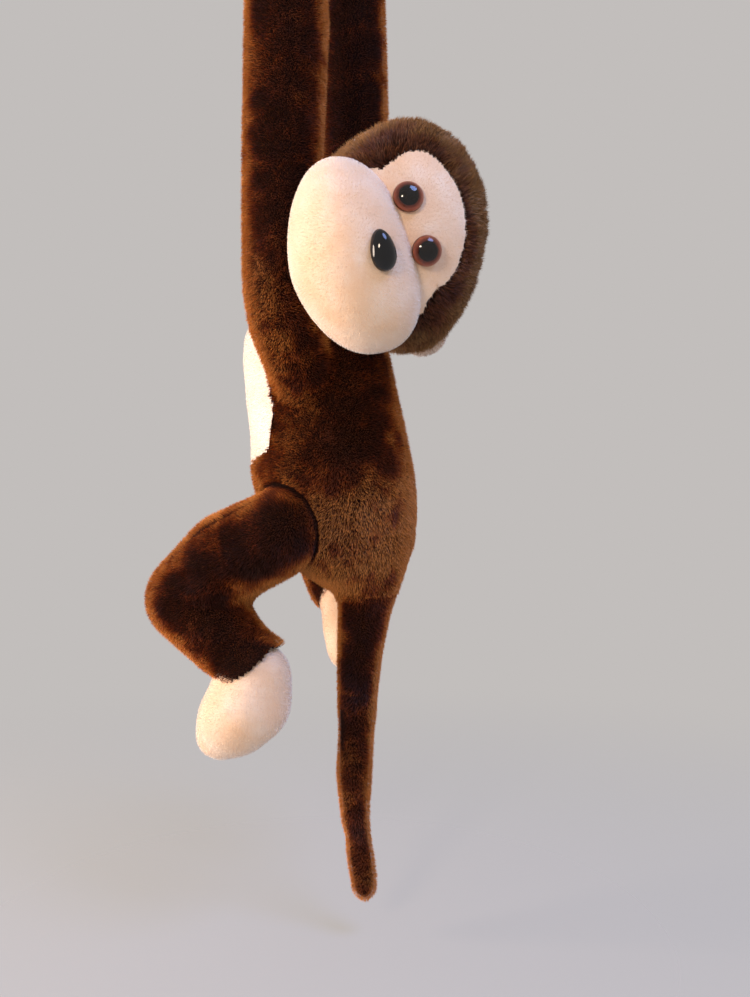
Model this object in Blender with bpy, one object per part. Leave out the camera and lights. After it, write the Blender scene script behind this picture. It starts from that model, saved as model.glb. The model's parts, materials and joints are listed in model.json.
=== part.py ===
"""A hanging plush monkey whose raised arms meet over a rail.

The origin is the middle of the rail that the joined hands hang from. The toy faces -Y,
its own left is +X and up is +Z. Sizes are in millimetres and angles in degrees; a mesh
is scaled to metres when it is made.

Every limb is a sewn plush skin over a firm stuffing. A limb bends where one link ends
in a round stuffed ball and the next link's skin is gathered over it.
"""

import math

import bmesh
import bpy
from mathutils import Matrix, Vector

MM = 0.001
LEFT, RIGHT = 1, -1
SIDES = ((LEFT, "left"), (RIGHT, "right"))

# Fabric, seams and clearances
SKIN = 2.0  # plush with its backing
SEAM_GAP = 0.3  # between pieces that are sewn or snapped together
FILL_GAP = 0.5  # between a skin and the stuffing in it
JOINT_GAP = 0.5  # between a ball and the skin that turns on it
LAP = 8.0  # how far past a ball's middle the next skin starts
MOUTH_RADIUS = 7.0  # the seam mouth that a closed link is stuffed through

# Arms, from the joined hands down to the shoulders
WRIST_DROP = 8.0  # below the middle of the rail
WRIST_SPREAD = 29.0  # from the middle to each wrist
WRIST_RADIUS = 14.0
FOREARM = 104.0
ELBOW_SPREAD = 33.0
ELBOW_RADIUS = 17.6
UPPER_ARM = 138.0
SHOULDER_SPREAD = 33.0
SHOULDER_RADIUS = 18.5

# Hands, and the hook-and-loop patches between them
HAND_LENGTH = 62.0  # from the wrist's middle to the finger end
PALM_RADIUS = 16.0
FINGER_RADIUS = 12.5
PATCH_WIDTH = 20.0
PATCH_HEIGHT = 30.0
PATCH_THICKNESS = 1.2

# Body: a pear that leans back as it widens to the rump
TORSO_RISE = 14.0  # above the shoulder joints
TORSO_LENGTH = 138.0
TORSO_HALF_WIDTH = 38.0
TORSO_HALF_DEPTH = 37.5
TORSO_LEAN = 24.0  # how far the lowest part sits behind the shoulders
# Down the body as a share of its length: half width, half depth and lean, as shares
TORSO_PROFILE = (
    (0.035, 0.40, 0.70, -0.06),
    (0.10, 0.56, 0.95, -0.11),
    (0.19, 0.68, 1.02, -0.10),
    (0.33, 0.83, 1.02, 0.04),
    (0.46, 0.95, 1.01, 0.21),
    (0.59, 1.00, 1.05, 0.30),
    (0.71, 1.00, 1.00, 0.47),
    (0.83, 0.93, 0.86, 0.62),
    (0.92, 0.72, 0.62, 0.80),
    (0.975, 0.42, 0.36, 0.94),
)
BELLY_TOP = 0.05  # shares of the body's length
BELLY_BOTTOM = 0.555
BELLY_HALF_WIDTH = 0.93  # of the body's half width, at the panel's widest
BELLY_SIDE_Y = -6.0  # where its side seams run

# Head, turned over its left shoulder and rolled so that the crown points back
HEAD_HALF_WIDTH = 46.5
HEAD_HALF_DEPTH = 39.0
HEAD_HALF_HEIGHT = 40.5
HEAD_TURN = 118.0
HEAD_NOD = 15.0
HEAD_ROLL = 70.0
NECK_RADIUS = 17.0
NECK_SIDE = 16.5
NECK_BACK = 29.2
NECK_DROP = 0.3  # below the top of the body
NECK_PRESS = 1.0  # how far the neck's middle lies inside the head
NECK_AXIS = Vector((22.2, 33.5, 18.0)).normalized()
NECK_ROOT_DEPTH = 26.0  # from the neck's middle back into the body
NECK_ROOT_RADIUS = 14.0

# Face, in the head's own directions: +x its left, -y forward, +z to the crown
FACE_SHIFT = -3.5  # the face is sewn a little to the toy's right
FACE_HALF_WIDTH = 30.0
FACE_HALF_HEIGHT = 28.0
FACE_CENTRE_UP = 1.0
MUZZLE_HALF_WIDTH = 39.5
MUZZLE_HALF_DEPTH = 28.0
MUZZLE_HALF_HEIGHT = 22.2
MUZZLE_FORWARD = 30.0
MUZZLE_DOWN = 19.2
MUZZLE_POWER = 2.2  # 2 is an ellipsoid; more is squarer
EYE_RADIUS = 6.0
EYE_DOME = 4.0
EYE_SPREAD = 10.6
EYE_UP = 9.0
PUPIL_RADIUS = 3.7
PUPIL_DEPTH = 1.8
SHANK_RADIUS = 2.0
SHANK_LENGTH = 9.0
WASHER_RADIUS = 6.5
WASHER_THICKNESS = 1.4
WASHER_DEPTH = 2.4  # below the fabric's inner side, because the face curves away
SHANK_FIT = 0.3
NOSE_HALF_WIDTH = 8.0
NOSE_HALF_HEIGHT = 6.4
NOSE_DOME = 5.0
NOSE_UP = -7.2
EAR_RADIUS = 11.5
EAR_LAYER = 1.6
EAR_BACK = 6.0  # behind the head's middle
EAR_POSE = {
    LEFT: {"sweep": 50.0, "up": -3.0},
    RIGHT: {"sweep": 74.0, "up": 4.0},
}

# Legs, each with its own bend, and the feet
HIP_SPREAD = 36.0
HIP_DROP = 94.0  # below the shoulders
HIP_RADIUS = 20.0
THIGH = 59.3
KNEE_RADIUS = 19.6
SHIN = 44.3
FOOT_LENGTH = 46.2  # from the ankle's middle to the toe end
ANKLE_RADIUS = 15.0
CUFF_EASE = 0.1
CUFF_RADIUS = ANKLE_RADIUS + JOINT_GAP + SKIN + CUFF_EASE
FOOT_RADIUS = 19.3
TOE_RADIUS = 14.5
HEEL_SET_BACK = 5.0
ANKLE_LAP = 5.6  # how far above the ankle's middle the cuff ends
FOOT_REACH = 1.25  # of the way to the heel, that the cuff makes room for
FOOT_SWELL = 1.6  # of the swelling from ankle to heel, at that reach
INSTEP_ROOM = 6.0  # spare degrees at the instep

# How each leg hangs: degrees below straight ahead, and outward splay
LEG_POSE = {
    LEFT: {"thigh": 33.8, "shin": 140.8, "foot": 64.3, "splay": 0.0},
    RIGHT: {"thigh": 0.0, "shin": 118.0, "foot": 138.0, "splay": 50.0},
}

# Tail: root, tip and the slight kink two thirds of the way down
TAIL_ROOT_RADIUS = 16.5
TAIL_ROOT_RISE = 12.0  # above the lowest point of the body
TAIL_ROOT_BACK = 27.0
TAIL_UPPER = 77.0
TAIL_LOWER = 70.0
TAIL_MID_RADIUS = 8.8
TAIL_TIP_RADIUS = 6.2

# How far each joint turns, from the pose in which the toy hangs
SHOULDER_SWING = 135
ELBOW_SWING = 70
WRIST_SWING = 60
HIP_SWING = {LEFT: (-35, 40), RIGHT: (-35, 25)}  # the right foot stops short of the tail
KNEE_SWING = 60
ANKLE_SWING = 20
TAIL_ROOT_SWING = (-20, 50)
TAIL_MID_SWING = 45

# Facets
LIMB_SIDES = 12
LIMB_HOLLOW_SIDES = 6
BODY_SIDES = 20  # of the body, the head and the muzzle
HOLLOW_SIDES = 14
MOUTH_SIDES = 8
TOOL_STEP = 20  # degrees between the facets of a cutting form
HOLLOW_TOOL_STEP = 30

# Places that follow from the sizes
X_AXIS, Y_AXIS, Z_AXIS = Vector((1, 0, 0)), Vector((0, 1, 0)), Vector((0, 0, 1))
WRIST_Z = -WRIST_DROP
ELBOW_Z = WRIST_Z - FOREARM
SHOULDER_Z = ELBOW_Z - UPPER_ARM
HIP_Z = SHOULDER_Z - HIP_DROP
TORSO_TOP = SHOULDER_Z + TORSO_RISE
TORSO_BOTTOM = TORSO_TOP - TORSO_LENGTH
NECK = Vector((NECK_SIDE, NECK_BACK, TORSO_TOP - NECK_DROP))
TAIL_ROOT = Vector((0, TAIL_ROOT_BACK, TORSO_BOTTOM + TAIL_ROOT_RISE))
STUFFING = SKIN + FILL_GAP  # how far inside the outer surface the stuffing lies
HEAD_HALF = (HEAD_HALF_WIDTH, HEAD_HALF_DEPTH, HEAD_HALF_HEIGHT)
MUZZLE_HALF = (MUZZLE_HALF_WIDTH, MUZZLE_HALF_DEPTH, MUZZLE_HALF_HEIGHT)


def turned(degrees, axis):
    return Matrix.Rotation(math.radians(degrees), 4, axis)


# Meshes


def closed_mesh(loops, first_pole=None, last_pole=None):
    """One closed body from loops of points, each end drawn to a pole or left flat.

    Every loop is joined to the next by the same diagonals, so that a form and a
    smaller one inside it never touch.
    """
    bm = bmesh.new()
    rings = [[bm.verts.new(p) for p in loop] for loop in loops]
    sides = len(rings[0])
    for low, high in zip(rings, rings[1:]):
        for i in range(sides):
            j = (i + 1) % sides
            bm.faces.new((low[i], low[j], high[j]))
            bm.faces.new((low[i], high[j], high[i]))
    for ring, pole in ((rings[0], first_pole), (rings[-1], last_pole)):
        if pole is None:
            bm.faces.new(ring)
            continue
        tip = bm.verts.new(pole)
        for i in range(sides):
            bm.faces.new((ring[i], ring[(i + 1) % sides], tip))
    bmesh.ops.recalc_face_normals(bm, faces=bm.faces)
    return bm


def smooth_path(stations, per_span):
    """Points of a Catmull-Rom curve through (x, y, z, radius) stations."""
    ends = [2 * stations[0] - stations[1], *stations, 2 * stations[-1] - stations[-2]]
    path = []
    for p0, p1, p2, p3 in zip(ends, ends[1:], ends[2:], ends[3:]):
        for step in range(per_span):
            t = step / per_span
            path.append(
                0.5
                * (
                    2 * p1
                    + (p2 - p0) * t
                    + (2 * p0 - 5 * p1 + 4 * p2 - p3) * t**2
                    + (3 * p1 - p0 - 3 * p2 + p3) * t**3
                )
            )
    return [*path, stations[-1]]


def ring_of(centre, along, across, radius, sides):
    v = (across - across.dot(along) * along).normalized()
    w = along.cross(v)
    angles = [2 * math.pi * i / sides for i in range(sides)]
    return [centre + radius * (math.cos(a) * v + math.sin(a) * w) for a in angles]


def limb(stations, across, inset=0.0, sides=LIMB_SIDES, start="dome", end="dome", reach=0.0):
    """A swelling, tapering limb; a flat end is moved outward by reach."""
    path = smooth_path(stations, 2)
    points = [p.to_3d() for p in path]
    radii = [p.w - inset for p in path]
    dome_rings = 2
    last = len(points) - 1
    tangents = [
        (points[min(i + 1, last)] - points[max(i - 1, 0)]).normalized() for i in range(last + 1)
    ]
    loops = [
        ring_of(p, t, across, r, sides) for p, t, r in zip(points, tangents, radii)
    ]
    poles = [None, None]
    for which, kind in ((0, start), (-1, end)):
        middle, radius = points[which], radii[which]
        outward = -tangents[which] if which == 0 else tangents[which]
        along = tangents[which]
        if kind == "dome":
            for ring in range(1, dome_rings + 1):
                a = math.pi / 2 * ring / (dome_rings + 1)
                centre = middle + outward * radius * math.sin(a)
                loop = ring_of(centre, along, across, radius * math.cos(a), sides)
                loops.insert(0 if which == 0 else len(loops), loop)
            poles[which] = middle + outward * radius
        elif reach:
            loop = ring_of(middle + outward * reach, along, across, radius, sides)
            loops.insert(0 if which == 0 else len(loops), loop)
    return closed_mesh(loops, poles[0], poles[1])


def ellipsoid(half, inset=0.0, sides=BODY_SIDES, power=2.0, grow=1.0):
    """An ellipsoid about the origin with poles on z; a power over 2 squares it off."""
    bands = sides // 2
    half = [(h - inset) * grow for h in half]

    def swelled(c):
        return math.copysign(abs(c) ** (2 / power), c)

    loops = []
    for band in range(1, bands):
        up = math.pi * (band / bands - 0.5)
        wide, high = swelled(math.cos(up)), swelled(math.sin(up))
        loops.append(
            [
                Vector(
                    (
                        half[0] * wide * swelled(math.cos(2 * math.pi * i / sides)),
                        half[1] * wide * swelled(math.sin(2 * math.pi * i / sides)),
                        half[2] * high,
                    )
                )
                for i in range(sides)
            ]
        )
    return closed_mesh(loops, Vector((0, 0, -half[2])), Vector((0, 0, half[2])))


def swing_form(ball, far, length, low, high, step=TOOL_STEP, spread=1.0):
    """What a round limb sweeps: its ball is at the origin and it swings about z.

    The limb runs from x = 0 to length, where its radius is far, and turns from low to
    high. The facets lie outside the true surface. Spread widens the far end along z.
    """
    grow = 1 / math.cos(math.radians(step / 2)) ** 2
    back_span = 180 - high + low
    back = max(1, math.ceil(back_span / step))
    ahead = max(1, math.ceil((high - low) / 45))

    def point(distance, degrees, aside=0.0, turn=0):
        a, b = math.radians(degrees), math.radians(degrees + turn)
        return (
            distance * math.cos(a) + aside * math.cos(b),
            distance * math.sin(a) + aside * math.sin(b),
        )

    loops = []
    inner = range(-90 + step, 90, step)
    for latitude in (-87, *inner, 87):
        level = math.radians(latitude)
        wide = ball * grow * math.cos(level)
        far_wide = wide * far / ball
        near = [point(wide, high + 90 + back_span * i / back) for i in range(back + 1)]
        ends = [point(length, low, far_wide, -90)]
        ends += [point(length, low + (high - low) * i / ahead) for i in range(ahead + 1)]
        ends.append(point(length, high, far_wide, 90))
        z = ball * grow * math.sin(level)
        loop = [Vector((x, y, z)) for x, y in near]
        loop += [Vector((x, y, z * spread)) for x, y in ends]
        loops.append(loop)
    return closed_mesh(loops)


def prism(outline, depth):
    """A straight solid of an (x, y) outline, from z = 0 to depth."""
    return closed_mesh([[Vector((x, y, z)) for x, y in outline] for z in (0, depth)])


def oval(half_x, half_y, sides, centre=(0, 0)):
    angles = [2 * math.pi * i / sides for i in range(sides)]
    return [
        (centre[0] + half_x * math.cos(a), centre[1] + half_y * math.sin(a)) for a in angles
    ]


def dome(half_x, half_y, height, sides=20, rings=3):
    """A flat-backed dome that rises along +z."""
    loops = []
    for ring in range(rings):
        a = math.pi / 2 * ring / rings
        wide = math.cos(a)
        outline = oval(half_x * wide, half_y * wide, sides)
        loops.append([Vector((x, y, height * math.sin(a))) for x, y in outline])
    return closed_mesh(loops, None, Vector((0, 0, height)))


# Objects


def make_object(name, bm, matrix=None):
    if matrix is not None:
        bm.transform(matrix)
    bm.transform(Matrix.Scale(MM, 4))
    mesh = bpy.data.meshes.new(name)
    bm.to_mesh(mesh)
    bm.free()
    thing = bpy.data.objects.new(name, mesh)
    bpy.context.scene.collection.objects.link(thing)
    return thing


def tool(name, bm, matrix=None):
    """A cutting form: not a piece of the toy."""
    thing = make_object(name, bm, matrix)
    thing.hide_render = True
    thing.display_type = "WIRE"
    return thing


def swing_tool(name, centre, axis, toward, ball, far, length, swing, step=TOOL_STEP, spread=1.0):
    """A tool for what a limb sweeps about an axis, starting from its direction now."""
    x = (toward - toward.dot(axis) * axis).normalized()
    turn = Matrix((x, axis.cross(x), axis)).transposed().to_4x4()
    form = swing_form(ball, far, length, *swing, step, spread)
    return tool(name, form, Matrix.Translation(centre) @ turn)


def ball_tool(name, centre, radius):
    """A cutting ball whose facets lie outside the true one."""
    grow = 1 / math.cos(math.radians(TOOL_STEP / 2)) ** 2
    form = ellipsoid([radius] * 3, sides=360 // TOOL_STEP, grow=grow)
    return tool(name, form, Matrix.Translation(centre))


def carve(target, tools, operation="DIFFERENCE"):
    for shape in tools:
        modifier = target.modifiers.new(shape.name, "BOOLEAN")
        modifier.operation = operation
        modifier.object = shape
        modifier.solver = "EXACT"
    return target


def material(name, colour, roughness):
    made = bpy.data.materials.new(name)
    made.use_nodes = True
    shader = made.node_tree.nodes["Principled BSDF"]
    shader.inputs["Base Color"].default_value = (*colour, 1)
    shader.inputs["Roughness"].default_value = roughness
    shader.inputs["Metallic"].default_value = 0.0
    made.diffuse_color = (*colour, 1)
    return made


def linear(hex_colour):
    """Linear colour of an sRGB hex number."""
    parts = [((hex_colour >> shift) & 255) / 255 for shift in (16, 8, 0)]
    return [p / 12.92 if p <= 0.04045 else ((p + 0.055) / 1.055) ** 2.4 for p in parts]


class Body:
    """A group of pieces that move together, hung on an empty at its joint."""

    def __init__(self, name, joint, parent=None):
        self.joint = joint
        self.empty = bpy.data.objects.new(f"{name}_joint", None)
        self.empty.empty_display_size = 0.01
        bpy.context.scene.collection.objects.link(self.empty)
        if parent:
            self.empty.parent = parent.empty
        self.empty.location = (joint - (parent.joint if parent else Vector())) * MM

    def piece(self, name, bm, look, matrix=None):
        place = Matrix.Translation(-self.joint)
        thing = make_object(name, bm, place @ matrix if matrix is not None else place)
        thing.parent = self.empty
        thing.data.materials.append(look)
        thing.data.shade_smooth()
        thing.data.set_sharp_from_angle(angle=math.radians(50))
        return thing


# Limb stations


def station(point, radius):
    return Vector((*point, radius))


def arm_point(side, spread, z):
    return Vector((side * spread, 0, z))


def upper_arm_stations(side):
    shoulder = arm_point(side, SHOULDER_SPREAD, SHOULDER_Z)
    elbow = arm_point(side, ELBOW_SPREAD, ELBOW_Z)
    middle = (shoulder + elbow) / 2
    swell = (SHOULDER_RADIUS + ELBOW_RADIUS) / 2 + 0.4
    return [station(shoulder, SHOULDER_RADIUS), station(middle, swell), station(elbow, ELBOW_RADIUS)]


def past(joint, toward, distance):
    return joint + (toward - joint).normalized() * distance


def forearm_stations(side):
    elbow = arm_point(side, ELBOW_SPREAD, ELBOW_Z)
    wrist = arm_point(side, WRIST_SPREAD, WRIST_Z)
    bend = arm_point(side, ELBOW_SPREAD - 0.5, ELBOW_Z + FOREARM * 0.5)
    return [
        station(past(elbow, bend, LAP), ELBOW_RADIUS - 0.3),
        station(bend, (ELBOW_RADIUS + WRIST_RADIUS) / 2 + 0.4),
        station(wrist, WRIST_RADIUS),
    ]


def hand_stations(side):
    wrist = arm_point(side, WRIST_SPREAD, WRIST_Z)
    heel = arm_point(side, WRIST_SPREAD - 4.0, WRIST_Z + HAND_LENGTH * 0.34)
    palm = arm_point(side, PALM_RADIUS + 1.0, WRIST_Z + HAND_LENGTH * 0.62)
    finger = arm_point(side, FINGER_RADIUS + 2.2, WRIST_Z + HAND_LENGTH - FINGER_RADIUS)
    return [
        station(past(wrist, heel, LAP * 0.8), WRIST_RADIUS - 0.1),
        station(heel, (WRIST_RADIUS + PALM_RADIUS) / 2),
        station(palm, PALM_RADIUS),
        station(finger, FINGER_RADIUS),
    ]


def leg_turn(side):
    """Turns a leg's plane outward."""
    return turned(side * LEG_POSE[side]["splay"], "Z")


def leg_direction(side, below_ahead):
    """A direction in the leg's plane, so many degrees below straight ahead."""
    return leg_turn(side) @ turned(below_ahead, "X") @ Vector((0, -1, 0))


def leg_points(side):
    pose = LEG_POSE[side]
    hip = Vector((side * HIP_SPREAD, 0, HIP_Z))
    knee = hip + leg_direction(side, pose["thigh"]) * THIGH
    ankle = knee + leg_direction(side, pose["shin"]) * SHIN
    return hip, knee, ankle


def thigh_stations(side):
    hip, knee, _ = leg_points(side)
    middle = (hip + knee) / 2 + Vector((0, 0, 0.8))
    swell = (HIP_RADIUS + KNEE_RADIUS) / 2 + 0.6
    return [station(hip, HIP_RADIUS), station(middle, swell), station(knee, KNEE_RADIUS)]


def shin_stations(side):
    _, knee, ankle = leg_points(side)
    end = past(ankle, knee, ANKLE_LAP)
    start = past(knee, ankle, LAP)
    middle = (start + end) / 2
    return [
        station(start, KNEE_RADIUS - 0.3),
        station(middle, (KNEE_RADIUS + CUFF_RADIUS) / 2 - 0.4),
        station(end, CUFF_RADIUS),
    ]


def foot_stations(side):
    _, _, ankle = leg_points(side)
    foot = LEG_POSE[side]["foot"]
    along = leg_direction(side, foot)
    heelward = leg_direction(side, foot + 90)
    heel = ankle + along * (FOOT_LENGTH * 0.38) + heelward * HEEL_SET_BACK
    toe = ankle + along * (FOOT_LENGTH - TOE_RADIUS)
    return [station(ankle, ANKLE_RADIUS), station(heel, FOOT_RADIUS), station(toe, TOE_RADIUS)]


def tail_point(share_down, back):
    return Vector((0, TAIL_ROOT.y + back, TAIL_ROOT.z - share_down))


def tail_upper_stations():
    return [
        station(TAIL_ROOT, TAIL_ROOT_RADIUS),
        station(tail_point(TAIL_UPPER * 0.25, -2.5), TAIL_ROOT_RADIUS * 0.76),
        station(tail_point(TAIL_UPPER * 0.5, -4.5), TAIL_ROOT_RADIUS * 0.63),
        station(tail_point(TAIL_UPPER, -7.0), TAIL_MID_RADIUS),
    ]


def tail_lower_stations():
    middle = tail_point(TAIL_UPPER, -7.0)
    kink = tail_point(TAIL_UPPER + TAIL_LOWER * 0.52, -8.0)
    tip = tail_point(TAIL_UPPER + TAIL_LOWER, -3.5)
    return [
        station(past(middle, kink, LAP * 0.5), TAIL_MID_RADIUS - 0.2),
        station(kink, (TAIL_MID_RADIUS + TAIL_TIP_RADIUS) / 2),
        station(tip, TAIL_TIP_RADIUS),
    ]


# Links: one skin over one stuffing


def ball_link(body, name, stations, across, look, filling, mouth):
    """A link that is a ball at both ends, stuffed through a mouth in its first ball."""
    skin = body.piece(f"{name}_skin", limb(stations, across), look)
    hollow = tool(f"{name}_hollow", limb(stations, across, SKIN, LIMB_HOLLOW_SIDES))
    ball, aside = stations[0], mouth.orthogonal().normalized()
    opening = closed_mesh(
        [
            ring_of(ball.to_3d() + mouth * reach, mouth, aside, MOUTH_RADIUS, MOUTH_SIDES)
            for reach in (ball.w * 0.4, ball.w + 4)
        ]
    )
    carve(skin, [hollow, tool(f"{name}_mouth", opening)])
    core = limb(stations, across, STUFFING, LIMB_HOLLOW_SIDES)
    return skin, body.piece(f"{name}_stuffing", core, filling)


def sleeve_link(body, name, stations, across, look, filling, tools, end="dome"):
    """A link whose open start, or both open ends, lap over what the tools stand for."""
    skin = body.piece(f"{name}_skin", limb(stations, across, start="flat", end=end), look)
    bore = limb(stations, across, SKIN, LIMB_HOLLOW_SIDES, "flat", end, reach=3.0)
    carve(skin, [tool(f"{name}_bore", bore), *tools])
    core = limb(stations, across, STUFFING, LIMB_HOLLOW_SIDES, "flat", end)
    stuffing = body.piece(f"{name}_stuffing", core, filling)
    carve(stuffing, tools)
    return skin, stuffing


# Body


def torso_form(inset=0.0, sides=HOLLOW_SIDES):
    """The pear of the body without its neck."""
    levels = [
        Vector(
            (
                TORSO_TOP - share * TORSO_LENGTH,
                TORSO_LEAN * lean,
                TORSO_HALF_WIDTH * wide,
                TORSO_HALF_DEPTH * deep,
            )
        )
        for share, wide, deep, lean in TORSO_PROFILE
    ]
    loops = []
    for level in smooth_path(levels, 1):
        z, back, wide, deep = level
        outline = oval(max(wide - inset, 1.0), max(deep - inset, 1.0), sides, (0, back))
        loops.append([Vector((x, y, z)) for x, y in outline])
    top = Vector((0, TORSO_LEAN * TORSO_PROFILE[0][3], TORSO_TOP - inset))
    bottom = Vector((0, TORSO_LEAN, TORSO_BOTTOM + inset))
    return closed_mesh(loops, top, bottom)


def neck_form(inset, sides):
    """The short neck, from inside the body to the ball that the head is sewn over."""
    root = NECK - NECK_AXIS * NECK_ROOT_DEPTH
    return limb(
        [station(root, NECK_ROOT_RADIUS), station(NECK, NECK_RADIUS)], X_AXIS, inset, sides
    )


def torso_with_neck(name, inset, sides=HOLLOW_SIDES):
    form = tool(name, torso_form(inset, sides))
    neck = tool(f"{name}_neck", neck_form(inset, LIMB_SIDES))
    return carve(form, [neck], "UNION")


def swing_room(extra):
    """The room that arms, legs and tail take from the body, wider by extra."""
    gap = JOINT_GAP + extra
    step = HOLLOW_TOOL_STEP if extra else TOOL_STEP
    room = []
    for side, word in SIDES:
        name = f"{word}_arm_room_{extra}"
        shoulder = arm_point(side, SHOULDER_SPREAD, SHOULDER_Z)
        radius = SHOULDER_RADIUS + gap
        swing = (0, SHOULDER_SWING)
        length = UPPER_ARM / 2
        axis = side * Y_AXIS
        room.append(swing_tool(name, shoulder, axis, Z_AXIS, radius, radius, length, swing, step))
        name = f"{word}_leg_room_{extra}"
        hip, knee, _ = leg_points(side)
        radius = HIP_RADIUS + gap
        far = max(HIP_RADIUS, KNEE_RADIUS) + gap
        axis = leg_turn(side) @ X_AXIS
        swing = HIP_SWING[side]
        ahead = knee - hip
        spread = far / radius
        room.append(swing_tool(name, hip, axis, ahead, radius, far, THIGH, swing, step, spread))
    name = f"tail_room_{extra}"
    radius = TAIL_ROOT_RADIUS + gap
    far = radius * 0.75
    length = TAIL_UPPER / 2
    swing = TAIL_ROOT_SWING
    room.append(swing_tool(name, TAIL_ROOT, X_AXIS, -Z_AXIS, radius, far, length, swing, step))
    return room


def belly_outline(inset):
    """(x, z) of the belly panel: pointed at the throat and blunt between the legs."""
    top = TORSO_TOP - BELLY_TOP * TORSO_LENGTH - inset
    bottom = TORSO_TOP - BELLY_BOTTOM * TORSO_LENGTH + inset
    half = BELLY_HALF_WIDTH * TORSO_HALF_WIDTH - inset
    low = bottom + 0.32 * (top - bottom)
    outline = []
    for i in range(9):
        a = -math.pi / 2 + math.pi / 2 * i / 8
        outline.append((half * math.cos(a) ** 0.7, low + (low - bottom) * math.sin(a)))
    for i in range(1, 7):
        t = i / 7
        outline.append((half * (1 - t**2.2), low + (top - low) * t))
    outline.append((0, top))
    mirrored = [(-x, z) for x, z in reversed(outline) if x > 0.001]
    return [(x, z) for x, z in outline] + mirrored


def belly_prism(inset):
    """Runs from the side seams to ahead of the body."""
    form = prism(belly_outline(inset), TORSO_HALF_DEPTH * 2)
    form.transform(Matrix.Translation((0, BELLY_SIDE_Y - inset, 0)) @ turned(90, "X"))
    return form


def build_torso(looks):
    torso = Body("torso", Vector((0, 0, SHOULDER_Z)))
    room = swing_room(0.0)
    hollow = torso_with_neck("torso_hollow", SKIN)
    carve(hollow, swing_room(SKIN))
    neck = tool("neck_bump", neck_form(0.0, LIMB_SIDES))

    back = torso.piece("torso_back_skin", torso_form(sides=BODY_SIDES), looks["plush"])
    carve(back, [neck], "UNION")
    carve(back, room)
    opening = tool("belly_opening", belly_prism(0.0))
    carve(opening, [torso_with_neck("belly_backing", SKIN + SEAM_GAP)])
    carve(back, [hollow, opening])

    panel = torso.piece("belly_panel", belly_prism(SEAM_GAP), looks["cream"])
    outside = torso_with_neck("torso_outside", 0.0, BODY_SIDES)
    carve(panel, [outside], "INTERSECT")
    carve(panel, [*room, torso_with_neck("belly_inside", SKIN)])

    stuffing = torso.piece("torso_stuffing", torso_form(STUFFING), looks["stuffing"])
    core_neck = tool("neck_core", neck_form(STUFFING, LIMB_SIDES))
    carve(stuffing, [core_neck], "UNION")
    carve(stuffing, swing_room(STUFFING))
    return torso


# Head


def head_place():
    turn = turned(HEAD_TURN, "Z") @ turned(HEAD_NOD, "X") @ turned(HEAD_ROLL, "Y")
    inward = turn.inverted() @ -NECK_AXIS
    reach = 1 / math.sqrt(sum((c / h) ** 2 for c, h in zip(inward, HEAD_HALF)))
    return Matrix.Translation(NECK + NECK_AXIS * (reach - NECK_PRESS)) @ turn


def on_ellipsoid(x, z, half):
    """The front point of an ellipsoid at (x, z), and its outward direction."""
    y = -half[1] * math.sqrt(max(0.0, 1 - (x / half[0]) ** 2 - (z / half[2]) ** 2))
    outward = Vector((x / half[0] ** 2, y / half[1] ** 2, z / half[2] ** 2))
    return Vector((x, y, z)), outward.normalized()


def facing(point, outward):
    """A placement whose +z points outward and whose +x stays level across the face."""
    across = (X_AXIS - X_AXIS.dot(outward) * outward).normalized()
    up = outward.cross(across)
    turn = Matrix((across, up, outward)).transposed().to_4x4()
    return Matrix.Translation(point) @ turn


def muzzle_form(inset=0.0, sides=HOLLOW_SIDES):
    return ellipsoid(MUZZLE_HALF, inset, sides, MUZZLE_POWER)


def face_prism(inset):
    """Runs from the head's middle forward."""
    centre = (FACE_SHIFT, FACE_CENTRE_UP)
    outline = oval(FACE_HALF_WIDTH - inset, FACE_HALF_HEIGHT - inset, BODY_SIDES, centre)
    form = prism(outline, HEAD_HALF_DEPTH * 1.5)
    form.transform(turned(90, "X"))
    return form


def build_feature(body, name, place, half, height, looks, pupil=None):
    """A snap-in eye or nose: a dome on a shank, held by a washer behind the fabric."""
    lift = Matrix.Translation((0, 0, SEAM_GAP))
    washer_back = -SKIN - WASHER_DEPTH - WASHER_THICKNESS
    shank = closed_mesh(
        [
            [Vector((x, y, z)) for x, y in oval(SHANK_RADIUS, SHANK_RADIUS, 10)]
            for z in (-SHANK_LENGTH, 0.5 + SEAM_GAP)
        ]
    )
    if pupil:
        lens = body.piece(f"{name}_lens", dome(*half, height), looks["lens"], place @ lift)
        seat = prism(oval(pupil + SKIN * 0.1, pupil + SKIN * 0.1, 16), PUPIL_DEPTH + 1.2)
        carve(lens, [tool(f"{name}_seat", seat, place @ Matrix.Translation((0, 0, -1)))])
        head = prism(oval(pupil, pupil, 16), PUPIL_DEPTH - SEAM_GAP)
        button = body.piece(f"{name}_pupil", head, looks["black"], place @ lift)
    else:
        button = body.piece(name, dome(*half, height), looks["black"], place @ lift)
    carve(button, [tool(f"{name}_shank", shank, place)], "UNION")

    washer = body.piece(
        f"{name}_washer",
        prism(oval(WASHER_RADIUS, WASHER_RADIUS, 16), WASHER_THICKNESS),
        looks["washer"],
        place @ Matrix.Translation((0, 0, washer_back)),
    )
    bore = SHANK_RADIUS + SHANK_FIT
    hole = tool(
        f"{name}_hole",
        prism(oval(bore, bore, 12), SHANK_LENGTH + 4),
        place @ Matrix.Translation((0, 0, -SHANK_LENGTH - 1)),
    )
    carve(washer, [hole])
    room = WASHER_RADIUS + SEAM_GAP
    pocket = tool(
        f"{name}_pocket",
        prism(oval(room, room, 16), SHANK_LENGTH),
        place @ Matrix.Translation((0, 0, washer_back - SEAM_GAP)),
    )
    return hole, pocket


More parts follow.
